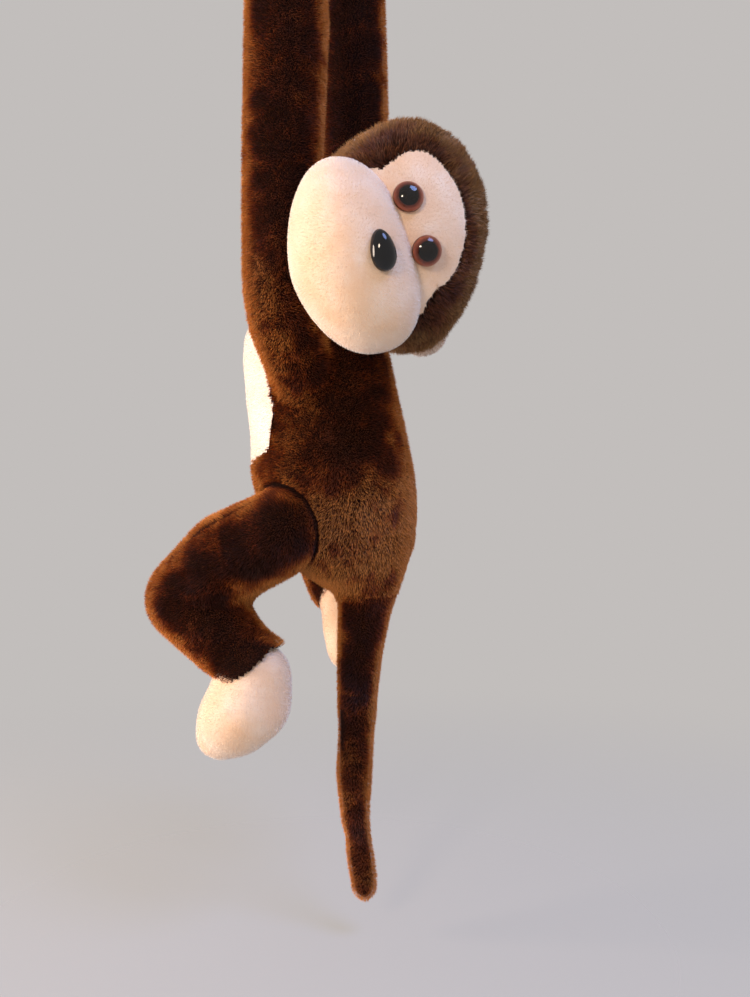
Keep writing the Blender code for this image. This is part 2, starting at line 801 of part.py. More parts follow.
def build_head(torso, looks):
    head = Body("head", NECK, torso)
    place = head_place()
    half = HEAD_HALF
    muzzle_place = place @ Matrix.Translation((0, -MUZZLE_FORWARD, -MUZZLE_DOWN))

    neck = ball_tool("neck_room", NECK, NECK_RADIUS + JOINT_GAP)
    body_room = tool("body_room", torso_form(-JOINT_GAP * 2))
    hollow = tool("head_hollow", ellipsoid(half, SKIN, HOLLOW_SIDES), place)
    outside = tool("head_outside", ellipsoid(half), place)
    face_hole = tool("face_hole", face_prism(0.0), place)

    hood = head.piece("head_hood", ellipsoid(half), looks["hair"], place)
    carve(hood, [hollow, face_hole, neck, body_room])

    patch = head.piece("face_patch", face_prism(SEAM_GAP), looks["cream"], place)
    carve(patch, [outside], "INTERSECT")
    carve(patch, [hollow])

    core = ellipsoid(half, STUFFING, HOLLOW_SIDES)
    stuffing = head.piece("head_stuffing", core, looks["stuffing"], place)
    carve(stuffing, [neck, body_room])

    seam = tool("muzzle_seam", ellipsoid(half, -SEAM_GAP), place)
    muzzle_hollow = tool("muzzle_hollow", muzzle_form(SKIN), muzzle_place)
    muzzle = head.piece(
        "muzzle_skin", muzzle_form(sides=BODY_SIDES), looks["cream"], muzzle_place
    )
    carve(muzzle, [muzzle_hollow, seam])
    muzzle_stuffing = head.piece(
        "muzzle_stuffing", muzzle_form(STUFFING), looks["stuffing"], muzzle_place
    )
    carve(muzzle_stuffing, [seam])

    for side, word in SIDES:
        point, outward = on_ellipsoid(FACE_SHIFT + side * EYE_SPREAD, EYE_UP, half)
        hole, pocket = build_feature(
            head,
            f"{word}_eye",
            place @ facing(point, outward),
            (EYE_RADIUS, EYE_RADIUS),
            EYE_DOME,
            looks,
            PUPIL_RADIUS,
        )
        carve(patch, [hole])
        carve(stuffing, [hole, pocket])
        build_ear(head, side, word, place, looks)

    point, outward = on_ellipsoid(0, NOSE_UP + MUZZLE_DOWN, MUZZLE_HALF)
    nose_place = muzzle_place @ facing(point + outward * 0.6, outward)
    hole, pocket = build_feature(
        head, "nose", nose_place, (NOSE_HALF_WIDTH, NOSE_HALF_HEIGHT), NOSE_DOME, looks
    )
    carve(muzzle, [hole])
    carve(muzzle_stuffing, [hole, pocket])
    return head


def build_ear(head, side, word, place, looks):
    """A round flap of two layers, swept back from the side of the head."""
    pose = EAR_POSE[side]
    root = Vector((side * HEAD_HALF_WIDTH * 0.93, EAR_BACK, pose["up"]))
    lie = turned(side * pose["sweep"], "Z") @ turned(90, "X")
    gap = tool(f"{word}_ear_seam", ellipsoid(HEAD_HALF, -SEAM_GAP), place)
    outline = oval(EAR_RADIUS, EAR_RADIUS, 18)
    for layer, look, offset in (("front", "cream", 0.0), ("back", "hair", -EAR_LAYER - SEAM_GAP)):
        at = place @ Matrix.Translation(root) @ lie @ Matrix.Translation((0, 0, offset))
        flap = head.piece(f"{word}_ear_{layer}", prism(outline, EAR_LAYER), looks[look], at)
        carve(flap, [gap])


# Arms, legs and tail


def parent_room(name, stations, axis, swing):
    """What a parent link sweeps past its last ball, as its child sees it."""
    joint, start = stations[-1].to_3d(), stations[0].to_3d()
    length = min((start - joint).length, 3.5 * stations[-1].w)
    share = length / (start - joint).length
    far = stations[-1].w + (max(p.w for p in stations) - stations[-1].w) * min(1.0, 1.6 * share)
    low, high = swing
    ball = stations[-1].w + JOINT_GAP
    return swing_tool(name, joint, axis, start - joint, ball, far + JOINT_GAP, length, (-high, -low))


def build_arm(side, word, torso, looks):
    shoulder = arm_point(side, SHOULDER_SPREAD, SHOULDER_Z)
    elbow = arm_point(side, ELBOW_SPREAD, ELBOW_Z)
    wrist = arm_point(side, WRIST_SPREAD, WRIST_Z)
    upper = Body(f"{word}_upper_arm", shoulder, torso)
    inward = Vector((-side, 0, 0))
    stations = upper_arm_stations(side)
    ball_link(upper, f"{word}_upper_arm", stations, Y_AXIS, looks["plush"], looks["stuffing"], inward)

    forearm = Body(f"{word}_forearm", elbow, upper)
    tools = [parent_room(f"{word}_elbow_room", stations, X_AXIS, (0, ELBOW_SWING))]
    stations = forearm_stations(side)
    sleeve_link(forearm, f"{word}_forearm", stations, Y_AXIS, looks["plush"], looks["stuffing"], tools)

    hand = Body(f"{word}_hand", wrist, forearm)
    tools = [parent_room(f"{word}_wrist_room", stations, side * Y_AXIS, (0, WRIST_SWING))]
    flat = PATCH_THICKNESS + SEAM_GAP * 1.5
    palm = prism(oval(60, 60, 4), side * -60)
    stand = Matrix.Translation((side * flat, 0, 40)) @ turned(90, "Y")
    tools.append(tool(f"{word}_palm_flat", palm, stand))
    stations = hand_stations(side)
    sleeve_link(hand, f"{word}_hand", stations, Y_AXIS, looks["cream"], looks["stuffing"], tools)

    patch = "hook_patch" if side == LEFT else "loop_patch"
    plate = prism(oval(PATCH_WIDTH / 2, PATCH_HEIGHT / 2, 16), PATCH_THICKNESS)
    inner = side * SEAM_GAP / 2 if side == LEFT else -SEAM_GAP / 2 - PATCH_THICKNESS
    high = WRIST_Z + HAND_LENGTH * 0.68
    lie = Matrix.Translation((inner, 0, high)) @ turned(90, "Y") @ turned(90, "Z")
    hand.piece(f"{word}_{patch}", plate, looks["patch"], lie)


def foot_room(name, side):
    """What the foot sweeps near the ankle, with its heel set back from its line."""
    ankle, heel, toe = foot_stations(side)
    joint, axis = ankle.to_3d(), leg_turn(side) @ X_AXIS
    heelward = heel.to_3d() - joint
    set_back = math.degrees(heelward.angle(toe.to_3d() - joint))
    ball = ankle.w + JOINT_GAP
    far = ball + (heel.w - ankle.w) * FOOT_SWELL
    length = heelward.length * FOOT_REACH
    swing = (-ANKLE_SWING - set_back, ANKLE_SWING + INSTEP_ROOM)
    return swing_tool(name, joint, axis, heelward, ball, far, length, swing)


def build_leg(side, word, torso, looks):
    hip, knee, ankle = leg_points(side)
    axis = leg_turn(side) @ X_AXIS
    thigh = Body(f"{word}_thigh", hip, torso)
    stations = thigh_stations(side)
    ball_link(thigh, f"{word}_thigh", stations, axis, looks["plush"], looks["stuffing"], -side * axis)

    shin = Body(f"{word}_shin", knee, thigh)
    tools = [
        parent_room(f"{word}_knee_room", stations, axis, (-KNEE_SWING, 0)),
        foot_room(f"{word}_ankle_room", side),
    ]
    stations = shin_stations(side)
    sleeve_link(
        shin, f"{word}_shin", stations, axis, looks["plush"], looks["stuffing"], tools, end="flat"
    )

    foot = Body(f"{word}_foot", ankle, shin)
    stations = foot_stations(side)
    upward = (knee - ankle).normalized()
    ball_link(foot, f"{word}_foot", stations, axis, looks["cream"], looks["stuffing"], upward)


def build_tail(torso, looks):
    upper = Body("tail_upper", TAIL_ROOT, torso)
    stations = tail_upper_stations()
    ball_link(upper, "tail_upper", stations, X_AXIS, looks["plush"], looks["stuffing"], Z_AXIS)

    middle = stations[-1].to_3d()
    lower = Body("tail_lower", middle, upper)
    tools = [
        parent_room("tail_mid_room", stations, X_AXIS, (-TAIL_MID_SWING, TAIL_MID_SWING))
    ]
    stations = tail_lower_stations()
    sleeve_link(lower, "tail_lower", stations, X_AXIS, looks["plush"], looks["stuffing"], tools)


def main():
    for old in list(bpy.data.objects):
        bpy.data.objects.remove(old, do_unlink=True)
    looks = {
        "plush": material("chocolate plush", linear(0x4A2412), 0.9),
        "hair": material("head plush", linear(0x5A3418), 0.9),
        "cream": material("cream velour", linear(0xF5D9C0), 0.85),
        "stuffing": material("polyester fibre", linear(0xECEAE6), 1.0),
        "lens": material("brown clear acrylic", linear(0x6B3026), 0.1),
        "black": material("black plastic", linear(0x0B0A0C), 0.12),
        "washer": material("white plastic", linear(0xE8E6E0), 0.5),
        "patch": material("hook-and-loop tape", linear(0x3A1D10), 0.95),
    }
    torso = build_torso(looks)
    build_head(torso, looks)
    for side, word in SIDES:
        build_arm(side, word, torso, looks)
        build_leg(side, word, torso, looks)
    build_tail(torso, looks)


main()
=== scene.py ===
import json
import math

import bpy
import numpy as np
from mathutils import Matrix, Vector


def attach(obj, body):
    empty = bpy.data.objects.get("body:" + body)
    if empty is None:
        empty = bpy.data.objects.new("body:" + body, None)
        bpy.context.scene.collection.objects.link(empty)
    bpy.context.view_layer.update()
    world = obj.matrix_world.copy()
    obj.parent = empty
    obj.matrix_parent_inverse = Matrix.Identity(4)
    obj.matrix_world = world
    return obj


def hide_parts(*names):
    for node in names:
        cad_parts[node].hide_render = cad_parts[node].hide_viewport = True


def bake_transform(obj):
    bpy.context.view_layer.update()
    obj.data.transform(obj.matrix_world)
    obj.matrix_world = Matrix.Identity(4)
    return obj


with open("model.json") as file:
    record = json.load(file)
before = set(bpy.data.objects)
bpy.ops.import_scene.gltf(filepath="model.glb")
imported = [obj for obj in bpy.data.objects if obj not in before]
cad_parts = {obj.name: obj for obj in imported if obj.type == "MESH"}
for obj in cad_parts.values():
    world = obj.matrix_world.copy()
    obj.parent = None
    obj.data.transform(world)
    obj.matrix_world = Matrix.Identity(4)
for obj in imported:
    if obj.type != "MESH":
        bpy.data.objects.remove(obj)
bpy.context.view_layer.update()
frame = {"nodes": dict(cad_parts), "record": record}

bpy.ops.object.select_all(action="DESELECT")

MM = 0.001
SIDES = ((1, "left"), (-1, "right"))
JOINTS = {j["name"]: Vector(j["pos_m"]) / MM for j in frame["record"]["behaviour"]["joints"]}

# The plush's pile stands this far off its backing, in mm.
# The backing lies inside the sewn shape by that much.
BODY_PILE = 2.4
HEAD_PILE = 4.2
VELOUR_PILE = 0.7

# Camera: the photograph's view
CAMERA_AT = Vector((0.4115, 0.2484, -0.3285))
CAMERA_TOWARD = Vector((-0.883, -0.469, 0.0))
LENS_MM = 36.1


# Making by hand


def chosen():
    return bpy.context.view_layer.objects.active


def only(thing):
    bpy.ops.object.select_all(action="DESELECT")
    thing.select_set(True)
    bpy.context.view_layer.objects.active = thing
    return thing


def settle(thing):
    """Puts the object's place and size into its mesh."""
    only(thing)
    bpy.ops.object.transform_apply(location=True, rotation=True, scale=True)
    return thing


def ball(centre, radius, half=None, turn=None):
    """A round lump; half gives it three half sizes."""
    bpy.ops.mesh.primitive_uv_sphere_add(segments=40, ring_count=24, radius=MM)
    lump = chosen()
    size = half or (radius, radius, radius)
    turn = turn or Matrix.Identity(4)
    lump.matrix_world = Matrix.Translation(centre * MM) @ turn @ Matrix.Diagonal((*size, 1))
    return settle(lump)


def length_of_limb(start, start_radius, end, end_radius):
    """A tapering length between two points."""
    along = end - start
    bpy.ops.mesh.primitive_cone_add(
        vertices=40,
        radius1=start_radius * MM,
        radius2=end_radius * MM,
        depth=along.length * MM,
        location=(start + end) / 2 * MM,
        rotation=along.to_track_quat("Z", "Y").to_euler(),
    )
    return settle(chosen())


def limb(stations):
    """Balls at the stations with tapering lengths between them."""
    lumps = [ball(Vector(s[:3]), s[3]) for s in stations]
    for a, b in zip(stations, stations[1:]):
        lumps.append(length_of_limb(Vector(a[:3]), a[3], Vector(b[:3]), b[3]))
    return lumps


def pear(rings):
    """The body: a ring drawn out level by level.

    Each ring is height, half width, half depth and place back.
    """
    z, wide, deep, back = rings[0]
    middle = (0, back * MM, z * MM)
    bpy.ops.mesh.primitive_circle_add(vertices=48, radius=MM, fill_type="NGON", location=middle)
    body = chosen()
    bpy.ops.object.mode_set(mode="EDIT")
    bpy.ops.mesh.select_all(action="SELECT")
    bpy.ops.transform.resize(value=(wide, deep, 1), center_override=middle)
    for next_z, next_wide, next_deep, next_back in rings[1:]:
        step = (0, (next_back - back) * MM, (next_z - z) * MM)
        bpy.ops.mesh.extrude_region_move(TRANSFORM_OT_translate={"value": step})
        size, middle = (next_wide / wide, next_deep / deep, 1), (0, next_back * MM, next_z * MM)
        bpy.ops.transform.resize(value=size, center_override=middle)
        z, wide, deep, back = next_z, next_wide, next_deep, next_back
    bpy.ops.mesh.select_all(action="SELECT")
    bpy.ops.mesh.normals_make_consistent(inside=False)
    bpy.ops.object.mode_set(mode="OBJECT")
    return settle(body)


def joined(name, lumps):
    bpy.ops.object.select_all(action="DESELECT")
    for lump in lumps:
        lump.select_set(True)
    bpy.context.view_layer.objects.active = lumps[0]
    if len(lumps) > 1:
        bpy.ops.object.join()
    lumps[0].name = lumps[0].data.name = name
    return lumps[0]


def finish_modifier(thing, modifier):
    only(thing)
    bpy.ops.object.modifier_apply(modifier=modifier.name)


def stuffed(thing, voxel, smooth, swell=0.0):
    """Sews the lumps into one skin, stuffs it by a cloth simulation, and rounds it off."""
    remesh = thing.modifiers.new("sewn", "REMESH")
    remesh.mode = "VOXEL"
    remesh.voxel_size = voxel * MM
    finish_modifier(thing, remesh)
    soft = thing.modifiers.new("eased", "SMOOTH")
    soft.factor = 0.5
    soft.iterations = smooth
    finish_modifier(thing, soft)
    if swell:
        blow_up(thing, swell)
    fine = thing.modifiers.new("fine", "SUBSURF")
    fine.levels = fine.render_levels = 1
    finish_modifier(thing, fine)
    only(thing)
    bpy.ops.object.shade_smooth()
    return thing


def rows_of(items, what):
    """Three numbers for each corner, face or normal."""
    rows = np.empty(len(items) * 3, np.float32)
    items.foreach_get(what, rows)
    return rows.reshape(-1, 3)


def corners_of(thing):
    return rows_of(thing.data.vertices, "co")


def set_corners(thing, co):
    thing.data.vertices.foreach_set("co", np.asarray(co, np.float32).ravel())
    thing.data.update()


def blow_up(thing, most):
    """Cloth pressure from inside, with no gravity. No point moves more than most millimetres."""
    before = corners_of(thing)
    cloth = thing.modifiers.new("stuffing", "CLOTH")
    plush = cloth.settings
    plush.quality = 5
    plush.mass = 0.2
    plush.tension_stiffness = plush.compression_stiffness = 12
    plush.bending_stiffness = 0.3
    plush.use_pressure = True
    plush.uniform_pressure_force = 4
    plush.effector_weights.gravity = 0
    cloth.collision_settings.use_collision = False
    cloth.point_cache.frame_start, cloth.point_cache.frame_end = 1, 20
    for step in range(1, 21):
        bpy.context.scene.frame_set(step)
    finish_modifier(thing, cloth)
    bpy.context.scene.frame_set(1)
    moved = corners_of(thing) - before
    far = np.linalg.norm(moved, axis=1, keepdims=True)
    set_corners(thing, before + moved * np.minimum(1, most * MM / np.maximum(far, 1e-9)))


def split_off(thing, name, wanted):
    """Cuts the faces whose middles are wanted out of a skin, as a piece of their own."""
    picked = wanted(rows_of(thing.data.polygons, "center") / MM)
    only(thing)
    bpy.ops.object.mode_set(mode="EDIT")
    bpy.ops.mesh.select_all(action="DESELECT")
    bpy.ops.object.mode_set(mode="OBJECT")
    thing.data.polygons.foreach_set("select", picked)
    bpy.ops.object.mode_set(mode="EDIT")
    bpy.ops.mesh.select_mode(type="FACE")
    bpy.ops.mesh.separate(type="SELECTED")
    bpy.ops.object.mode_set(mode="OBJECT")
    piece = next(o for o in bpy.context.selected_objects if o != thing)
    piece.name = piece.data.name = name
    return piece


# Pile: fibres as thin kites that stand in the backing


def lattice_noise(places, size, seed, parts=3):
    """Soft noise from -1 to 1 over millimetres, with lumps of about that size."""
    rng = np.random.default_rng(seed)
    table = rng.uniform(-1, 1, (32, 32, 32, parts)).astype(np.float32)
    at = places / size
    low = np.floor(at).astype(np.int64)
    part = (at - low).astype(np.float32)
    part = part * part * (3 - 2 * part)
    out = np.zeros((len(places), parts), np.float32)
    for corner in np.ndindex(2, 2, 2):
        weight = np.where(corner, part, 1 - part).prod(axis=1)
        x, y, z = ((low + corner) % 32).T
        out += weight[:, None] * table[x, y, z]
    return out


def unit(v):
    return v / np.maximum(np.linalg.norm(v, axis=1, keepdims=True), 1e-9)


def roots_on(backing, per_cm2, rng):
    """Places in mm and normals for that many fibres a square centimetre, spread by area."""
    mesh = backing.data
    mesh.calc_loop_triangles()
    count = len(mesh.loop_triangles)
    tri = np.empty(count * 3, np.int32)
    mesh.loop_triangles.foreach_get("vertices", tri)
    tri = tri.reshape(-1, 3)
    co = corners_of(backing) / MM
    normals = rows_of(mesh.vertex_normals, "vector")
    a, b, c = co[tri[:, 0]], co[tri[:, 1]], co[tri[:, 2]]
    area = np.linalg.norm(np.cross(b - a, c - a), axis=1) / 2
    total = int(area.sum() / 100 * per_cm2)
    edges = np.cumsum(area) / area.sum()
    picked = np.searchsorted(edges, (np.arange(total) + rng.random(total)) / total)
    picked = np.minimum(picked, count - 1)
    u, v = rng.random(total), rng.random(total)
    over = u + v > 1
    u[over], v[over] = 1 - u[over], 1 - v[over]
    w = (1 - u - v)[:, None]
    u, v = u[:, None], v[:, None]
    places = a[picked] * w + b[picked] * u + c[picked] * v
    facing = unit(normals[tri[picked, 0]] * w + normals[tri[picked, 1]] * u + normals[tri[picked, 2]] * v)
    return places.astype(np.float32), facing.astype(np.float32)


WIDEST = 0.62  # how far up a fibre is at its widest


def pile(
    name, backing, per_cm2, nap, length, lean, width, look, seed, tuft=2.4, unrest=0.3, keep=None, tint=None
):
    """Fibres on a backing. nap gives the way they are brushed, lean how far they lie over in degrees.

    length and lean are numbers or functions of places in mm. keep picks the places that have fibres,
    and tint shifts their tone there: the pile's own tone, painted sheen and painted shade. Each fibre is
    two triangles, and keeps its backing's facing for the painted sheen.
    """
    rng = np.random.default_rng(seed)
    places, facing = roots_on(backing, per_cm2, rng)
    if keep is not None:
        kept = keep(places)
        places, facing = places[kept], facing[kept]
    total = len(places)
    brushed = nap(places)
    brushed = unit(brushed - (brushed * facing).sum(1, keepdims=True) * facing)
    long = (length(places) if callable(length) else np.full(total, length)).astype(np.float32)
    over = np.radians(lean(places) if callable(lean) else np.full(total, lean)).astype(np.float32)
    long *= 1 + 0.12 * rng.standard_normal(total).clip(-2, 2).astype(np.float32)
    tufts = lattice_noise(places, tuft, seed + 1)
    swirl = lattice_noise(places, tuft * 4.5, seed + 2)
    stray = rng.standard_normal((total, 3)).astype(np.float32)
    bend = brushed * np.tan(over)[:, None] + unrest * (tufts * 1.1 + swirl * 0.9 + stray * 0.28)
    bend -= (bend * facing).sum(1, keepdims=True) * facing
    first = unit(facing + bend * 0.65)
    second = unit(facing + bend * 1.35)
    middle = places + first * (long * WIDEST)[:, None]
    tip = middle + second * (long * (1 - WIDEST))[:, None]
    across = unit(np.cross(first, stray))
    half = (width * (0.5 + 0.16 * rng.standard_normal(total).clip(-2, 2)))[:, None]
    points = np.stack([places, middle - across * half, middle + across * half, tip], 1).reshape(-1, 3)
    base = np.arange(total, dtype=np.int32)[:, None] * 4
    faces = np.concatenate([base, base + 1, base + 2, base + 1, base + 3, base + 2], 1).ravel()

    mesh = bpy.data.meshes.new(name)
    mesh.vertices.add(total * 4)
    mesh.vertices.foreach_set("co", (points * MM).astype(np.float32).ravel())
    mesh.loops.add(total * 6)
    mesh.loops.foreach_set("vertex_index", faces)
    mesh.polygons.add(total * 2)
    mesh.polygons.foreach_set("loop_start", np.arange(0, total * 6, 3, dtype=np.int32))
    mesh.update(calc_edges=True)
    up_fibre = np.tile(np.array([0, WIDEST, WIDEST, 1], np.float32), total)
    mesh.attributes.new("up_fibre", "FLOAT", "POINT").data.foreach_set("value", up_fibre)
    tone = 0.4 * rng.random(total) + 0.45 * lattice_noise(places, 7.0, seed + 3, 1)[:, 0]
    if tint:
        tone += tint(places)
    mesh.attributes.new("fibre_tone", "FLOAT", "FACE").data.foreach_set(
        "value", np.repeat(tone, 2).astype(np.float32)
    )
    mesh.attributes.new("backing_facing", "FLOAT_VECTOR", "FACE").data.foreach_set(
        "vector", np.repeat(facing, 2, axis=0).astype(np.float32).ravel()
    )
    thing = bpy.data.objects.new(name, mesh)
    bpy.context.scene.collection.objects.link(thing)
    mesh.materials.append(look)
    return thing


# Materials


def linear(hex_colour):
    parts = [((hex_colour >> shift) & 255) / 255 for shift in (16, 8, 0)]
    return (*[p / 12.92 if p <= 0.04045 else ((p + 0.055) / 1.055) ** 2.4 for p in parts], 1)


def node(tree, kind, settings=None, values=None, links=None):
    """Adds a node, sets its properties and sockets, and links sockets to other nodes' outputs."""
    made = tree.nodes.new(kind)
    for key, value in (settings or {}).items():
        setattr(made, key, value)
    for key, value in (values or {}).items():
        made.inputs[key].default_value = value
    for key, (source, output) in (links or {}).items():
        tree.links.new(source.outputs[output], made.inputs[key])
    return made


def ramp(tree, stops, links):
    made = node(tree, "ShaderNodeValToRGB", links=links)
    points = made.color_ramp.elements
    while len(points) < len(stops):
        points.new(0.5)
    for point, (place, colour) in zip(points, stops):
        point.position, point.color = place, colour
    return made


def smooth_step(tree, source, low, high):
    settings, values = {"interpolation_type": "SMOOTHSTEP"}, {"From Min": low, "From Max": high}
    return node(tree, "ShaderNodeMapRange", settings, values, {"Value": source})


def maths(tree, operation, *terms, clamp=False):
    """A Math node on up to three terms, each a number or another node's output."""
    values = {k: term for k, term in enumerate(terms) if not isinstance(term, tuple)}
    links = {k: term for k, term in enumerate(terms) if isinstance(term, tuple)}
    return node(tree, "ShaderNodeMath", {"operation": operation, "use_clamp": clamp}, values, links)


def noise(tree, place, scale, detail):
    values = {"Scale": scale, "Detail": detail}
    return node(tree, "ShaderNodeTexNoise", values=values, links={"Vector": (place, "Object")})


def relief(tree, height, strength, distance, invert=False):
    values = {"Strength": strength, "Distance": distance}
    return node(tree, "ShaderNodeBump", {"invert": invert}, values, {"Height": height})


def bare_material(name):
    made = bpy.data.materials.new(name)
    made.use_nodes = True
    made.node_tree.nodes.clear()
    return made, made.node_tree


def shaded(tree, values, links):
    shader = node(tree, "ShaderNodeBsdfPrincipled", values=values, links=links)
    node(tree, "ShaderNodeOutputMaterial", links={"Surface": (shader, "BSDF")})


def sheen_of(roughness, tint):
    return {"Sheen Weight": 0.5, "Sheen Roughness": roughness, "Sheen Tint": linear(tint)}


def plush_fibre(name, root, stops, sheen):
    """Polyester plush pile, brushed and cut.

    stops are its colours, from where it is seen end on to its sides, which carry the painted sheen; root is
    painted shade at the foot of each fibre.
    """
    made, tree = bare_material(name)
    up = node(tree, "ShaderNodeAttribute", {"attribute_name": "up_fibre"})
    tone = node(tree, "ShaderNodeAttribute", {"attribute_name": "fibre_tone"})
    facing = node(tree, "ShaderNodeAttribute", {"attribute_name": "backing_facing"})
    # Painted sheen of the pile: where its backing turns away, the fibres show their sides,
    # which are painted lighter and warmer. This makes the base colour change with the view.
    settings = {"convert_from": "OBJECT", "convert_to": "WORLD"}
    facing = node(tree, "ShaderNodeVectorTransform", settings, links={"Vector": (facing, "Vector")})
    away = node(tree, "ShaderNodeLayerWeight", values={"Blend": 0.5}, links={"Normal": (facing, 0)})
    rim = smooth_step(tree, (away, "Facing"), 0.03, 0.86)
    # It is off where a face is seen exactly square on, as a bake sees every face, so that
    # a bake doesn't paint it on each fibre. No full bake was run to test that.
    turned = node(tree, "ShaderNodeLayerWeight", values={"Blend": 0.5})
    turned = smooth_step(tree, (turned, "Facing"), 0.001, 0.01)
    rim = maths(tree, "MULTIPLY", (rim, 0), (turned, 0))
    place = node(tree, "ShaderNodeTexCoord")
    # Dye and wear vary over about 12 mm.
    patches = noise(tree, place, 85.0, 3.0)
    # The fibre's tone carries painted sheen and painted shade as well as dye and wear.
    dye_wear_and_painted_light = maths(tree, "MULTIPLY_ADD", (patches, "Fac"), 0.7, (tone, "Fac"))
    shade = maths(tree, "ADD", (dye_wear_and_painted_light, 0), (rim, 0), clamp=True)
    steps = [(k / (len(stops) - 1), linear(stop)) for k, stop in enumerate(stops)]
    tips = ramp(tree, steps, {"Fac": (shade, 0)})
    # Painted shade deep in the pile: each fibre darkens to the root colour towards its foot.
    climb = smooth_step(tree, (up, "Fac"), 0.45, 0.95)
    # Where the painted sheen is, the fibre keeps its lit colour down to the root.
    lit = maths(tree, "MULTIPLY", (rim, 0), 0.75)
    lit = maths(tree, "MAXIMUM", (climb, 0), (lit, 0))
    links = {0: (lit, 0), 7: (tips, 0)}
    colour = node(tree, "ShaderNodeMix", {"data_type": "RGBA"}, {6: linear(root)}, links)
    values = {"Roughness": 0.6, "Specular IOR Level": 0.35, **sheen_of(0.35, sheen)}
    shaded(tree, values, {"Base Color": (colour, 2)})
    return made


def plush_backing(name, dark, light):
    """Knitted backing under the pile. Its colours are painted shade: only its darkness shows between the
    fibres.
    """
    made, tree = bare_material(name)
    place = node(tree, "ShaderNodeTexCoord")
    grain = noise(tree, place, 1400.0, 3.0)
    colour = ramp(tree, [(0.3, linear(dark)), (0.75, linear(light))], {"Fac": (grain, "Fac")})
    bump = relief(tree, (grain, "Fac"), 0.4, 0.0006)
    values = {"Roughness": 0.95, "Specular IOR Level": 0.15}
    shaded(tree, values, {"Base Color": (colour, 0), "Normal": (bump, 0)})
    return made


def velour(name, deep, mid, light, sheen):
    """Brushed polyester velour: a short soft nap with faint rows of knitting under it, 1.8 mm apart."""
    made, tree = bare_material(name)
    place = node(tree, "ShaderNodeTexCoord")
    cloud = noise(tree, place, 70.0, 4.0)
    fuzz = noise(tree, place, 2600.0, 2.0)
    values = {"Scale": 175.0, "Distortion": 1.2, "Detail": 2.0, "Detail Scale": 3.0}
    rows = node(tree, "ShaderNodeTexWave", {"bands_direction": "Z"}, values, {"Vector": (place, "Object")})
    blend = maths(tree, "MULTIPLY_ADD", (fuzz, "Fac"), 0.35, (cloud, "Fac"))
    stops = [(0.42, linear(deep)), (0.66, linear(mid)), (0.9, linear(light))]
    colour = ramp(tree, stops, {"Fac": (blend, 0)})
    height = maths(tree, "MULTIPLY_ADD", (rows, "Fac"), 0.25, (fuzz, "Fac"))
    bump = relief(tree, (height, 0), 0.35, 0.0003)
    values = {"Roughness": 0.85, "Specular IOR Level": 0.2, **sheen_of(0.5, sheen)}
    shaded(tree, values, {"Base Color": (colour, 0), "Normal": (bump, 0)})
    return made


def painted_iris(name, inner, middle, outer):
    """Paint behind the clear lens of a snap-in eye, dark about the pupil and lighter at the rim."""
    made, tree = bare_material(name)
    out = node(tree, "ShaderNodeAttribute", {"attribute_name": "from_middle"})
    place = node(tree, "ShaderNodeTexCoord")
    grain = noise(tree, place, 900.0, 2.0)
    shade = maths(tree, "MULTIPLY_ADD", (grain, "Fac"), 0.12, (out, "Fac"))
    stops = [(0.7, linear(inner)), (0.86, linear(middle)), (1.0, linear(outer))]
    colour = ramp(tree, stops, {"Fac": (shade, 0)})
    shaded(tree, {"Roughness": 0.3, "Specular IOR Level": 0.3}, {"Base Color": (colour, 0)})
    return made


def woven_tape(name, dark, light):
    """Nylon hook-and-loop tape: woven rows 0.8 mm apart, matt, with a fuzz of cut threads."""
    made, tree = bare_material(name)
    place = node(tree, "ShaderNodeTexCoord")
    values = {"Scale": 1250.0, "Randomness": 0.35}
    cells = node(tree, "ShaderNodeTexVoronoi", {"feature": "F1"}, values, {"Vector": (place, "Object")})
    fuzz = noise(tree, place, 3200.0, 3.0)
    height = maths(tree, "MULTIPLY_ADD", (fuzz, "Fac"), 0.5, (cells, "Distance"))
    colour = ramp(tree, [(0.3, linear(light)), (0.95, linear(dark))], {"Fac": (height, 0)})
    bump = relief(tree, (height, 0), 0.8, 0.0004, invert=True)
    values = {"Roughness": 0.8, "Specular IOR Level": 0.3}
    shaded(tree, values, {"Base Color": (colour, 0), "Normal": (bump, 0)})
    return made


def moulded(name, colour, roughness, transmission=0.0, specular=0.5):
    """Polished moulded plastic, with the faint waviness of a cheap mould and dust-fine scratches."""
    made, tree = bare_material(name)
    place = node(tree, "ShaderNodeTexCoord")
    waves = noise(tree, place, 220.0, 1.0)
    scuffs = noise(tree, place, 1800.0, 4.0)
    values = {"From Min": 0.45, "From Max": 0.8, "To Min": roughness, "To Max": roughness + 0.12}
    gloss = node(tree, "ShaderNodeMapRange", values=values, links={"Value": (scuffs, "Fac")})
    bump = relief(tree, (waves, "Fac"), 0.05, 0.0005)
    values = {"Base Color": linear(colour), "IOR": 1.49, "Transmission Weight": transmission}
    values["Specular IOR Level"] = specular
    shaded(tree, values, {"Roughness": (gloss, 0), "Normal": (bump, 0)})
    return made


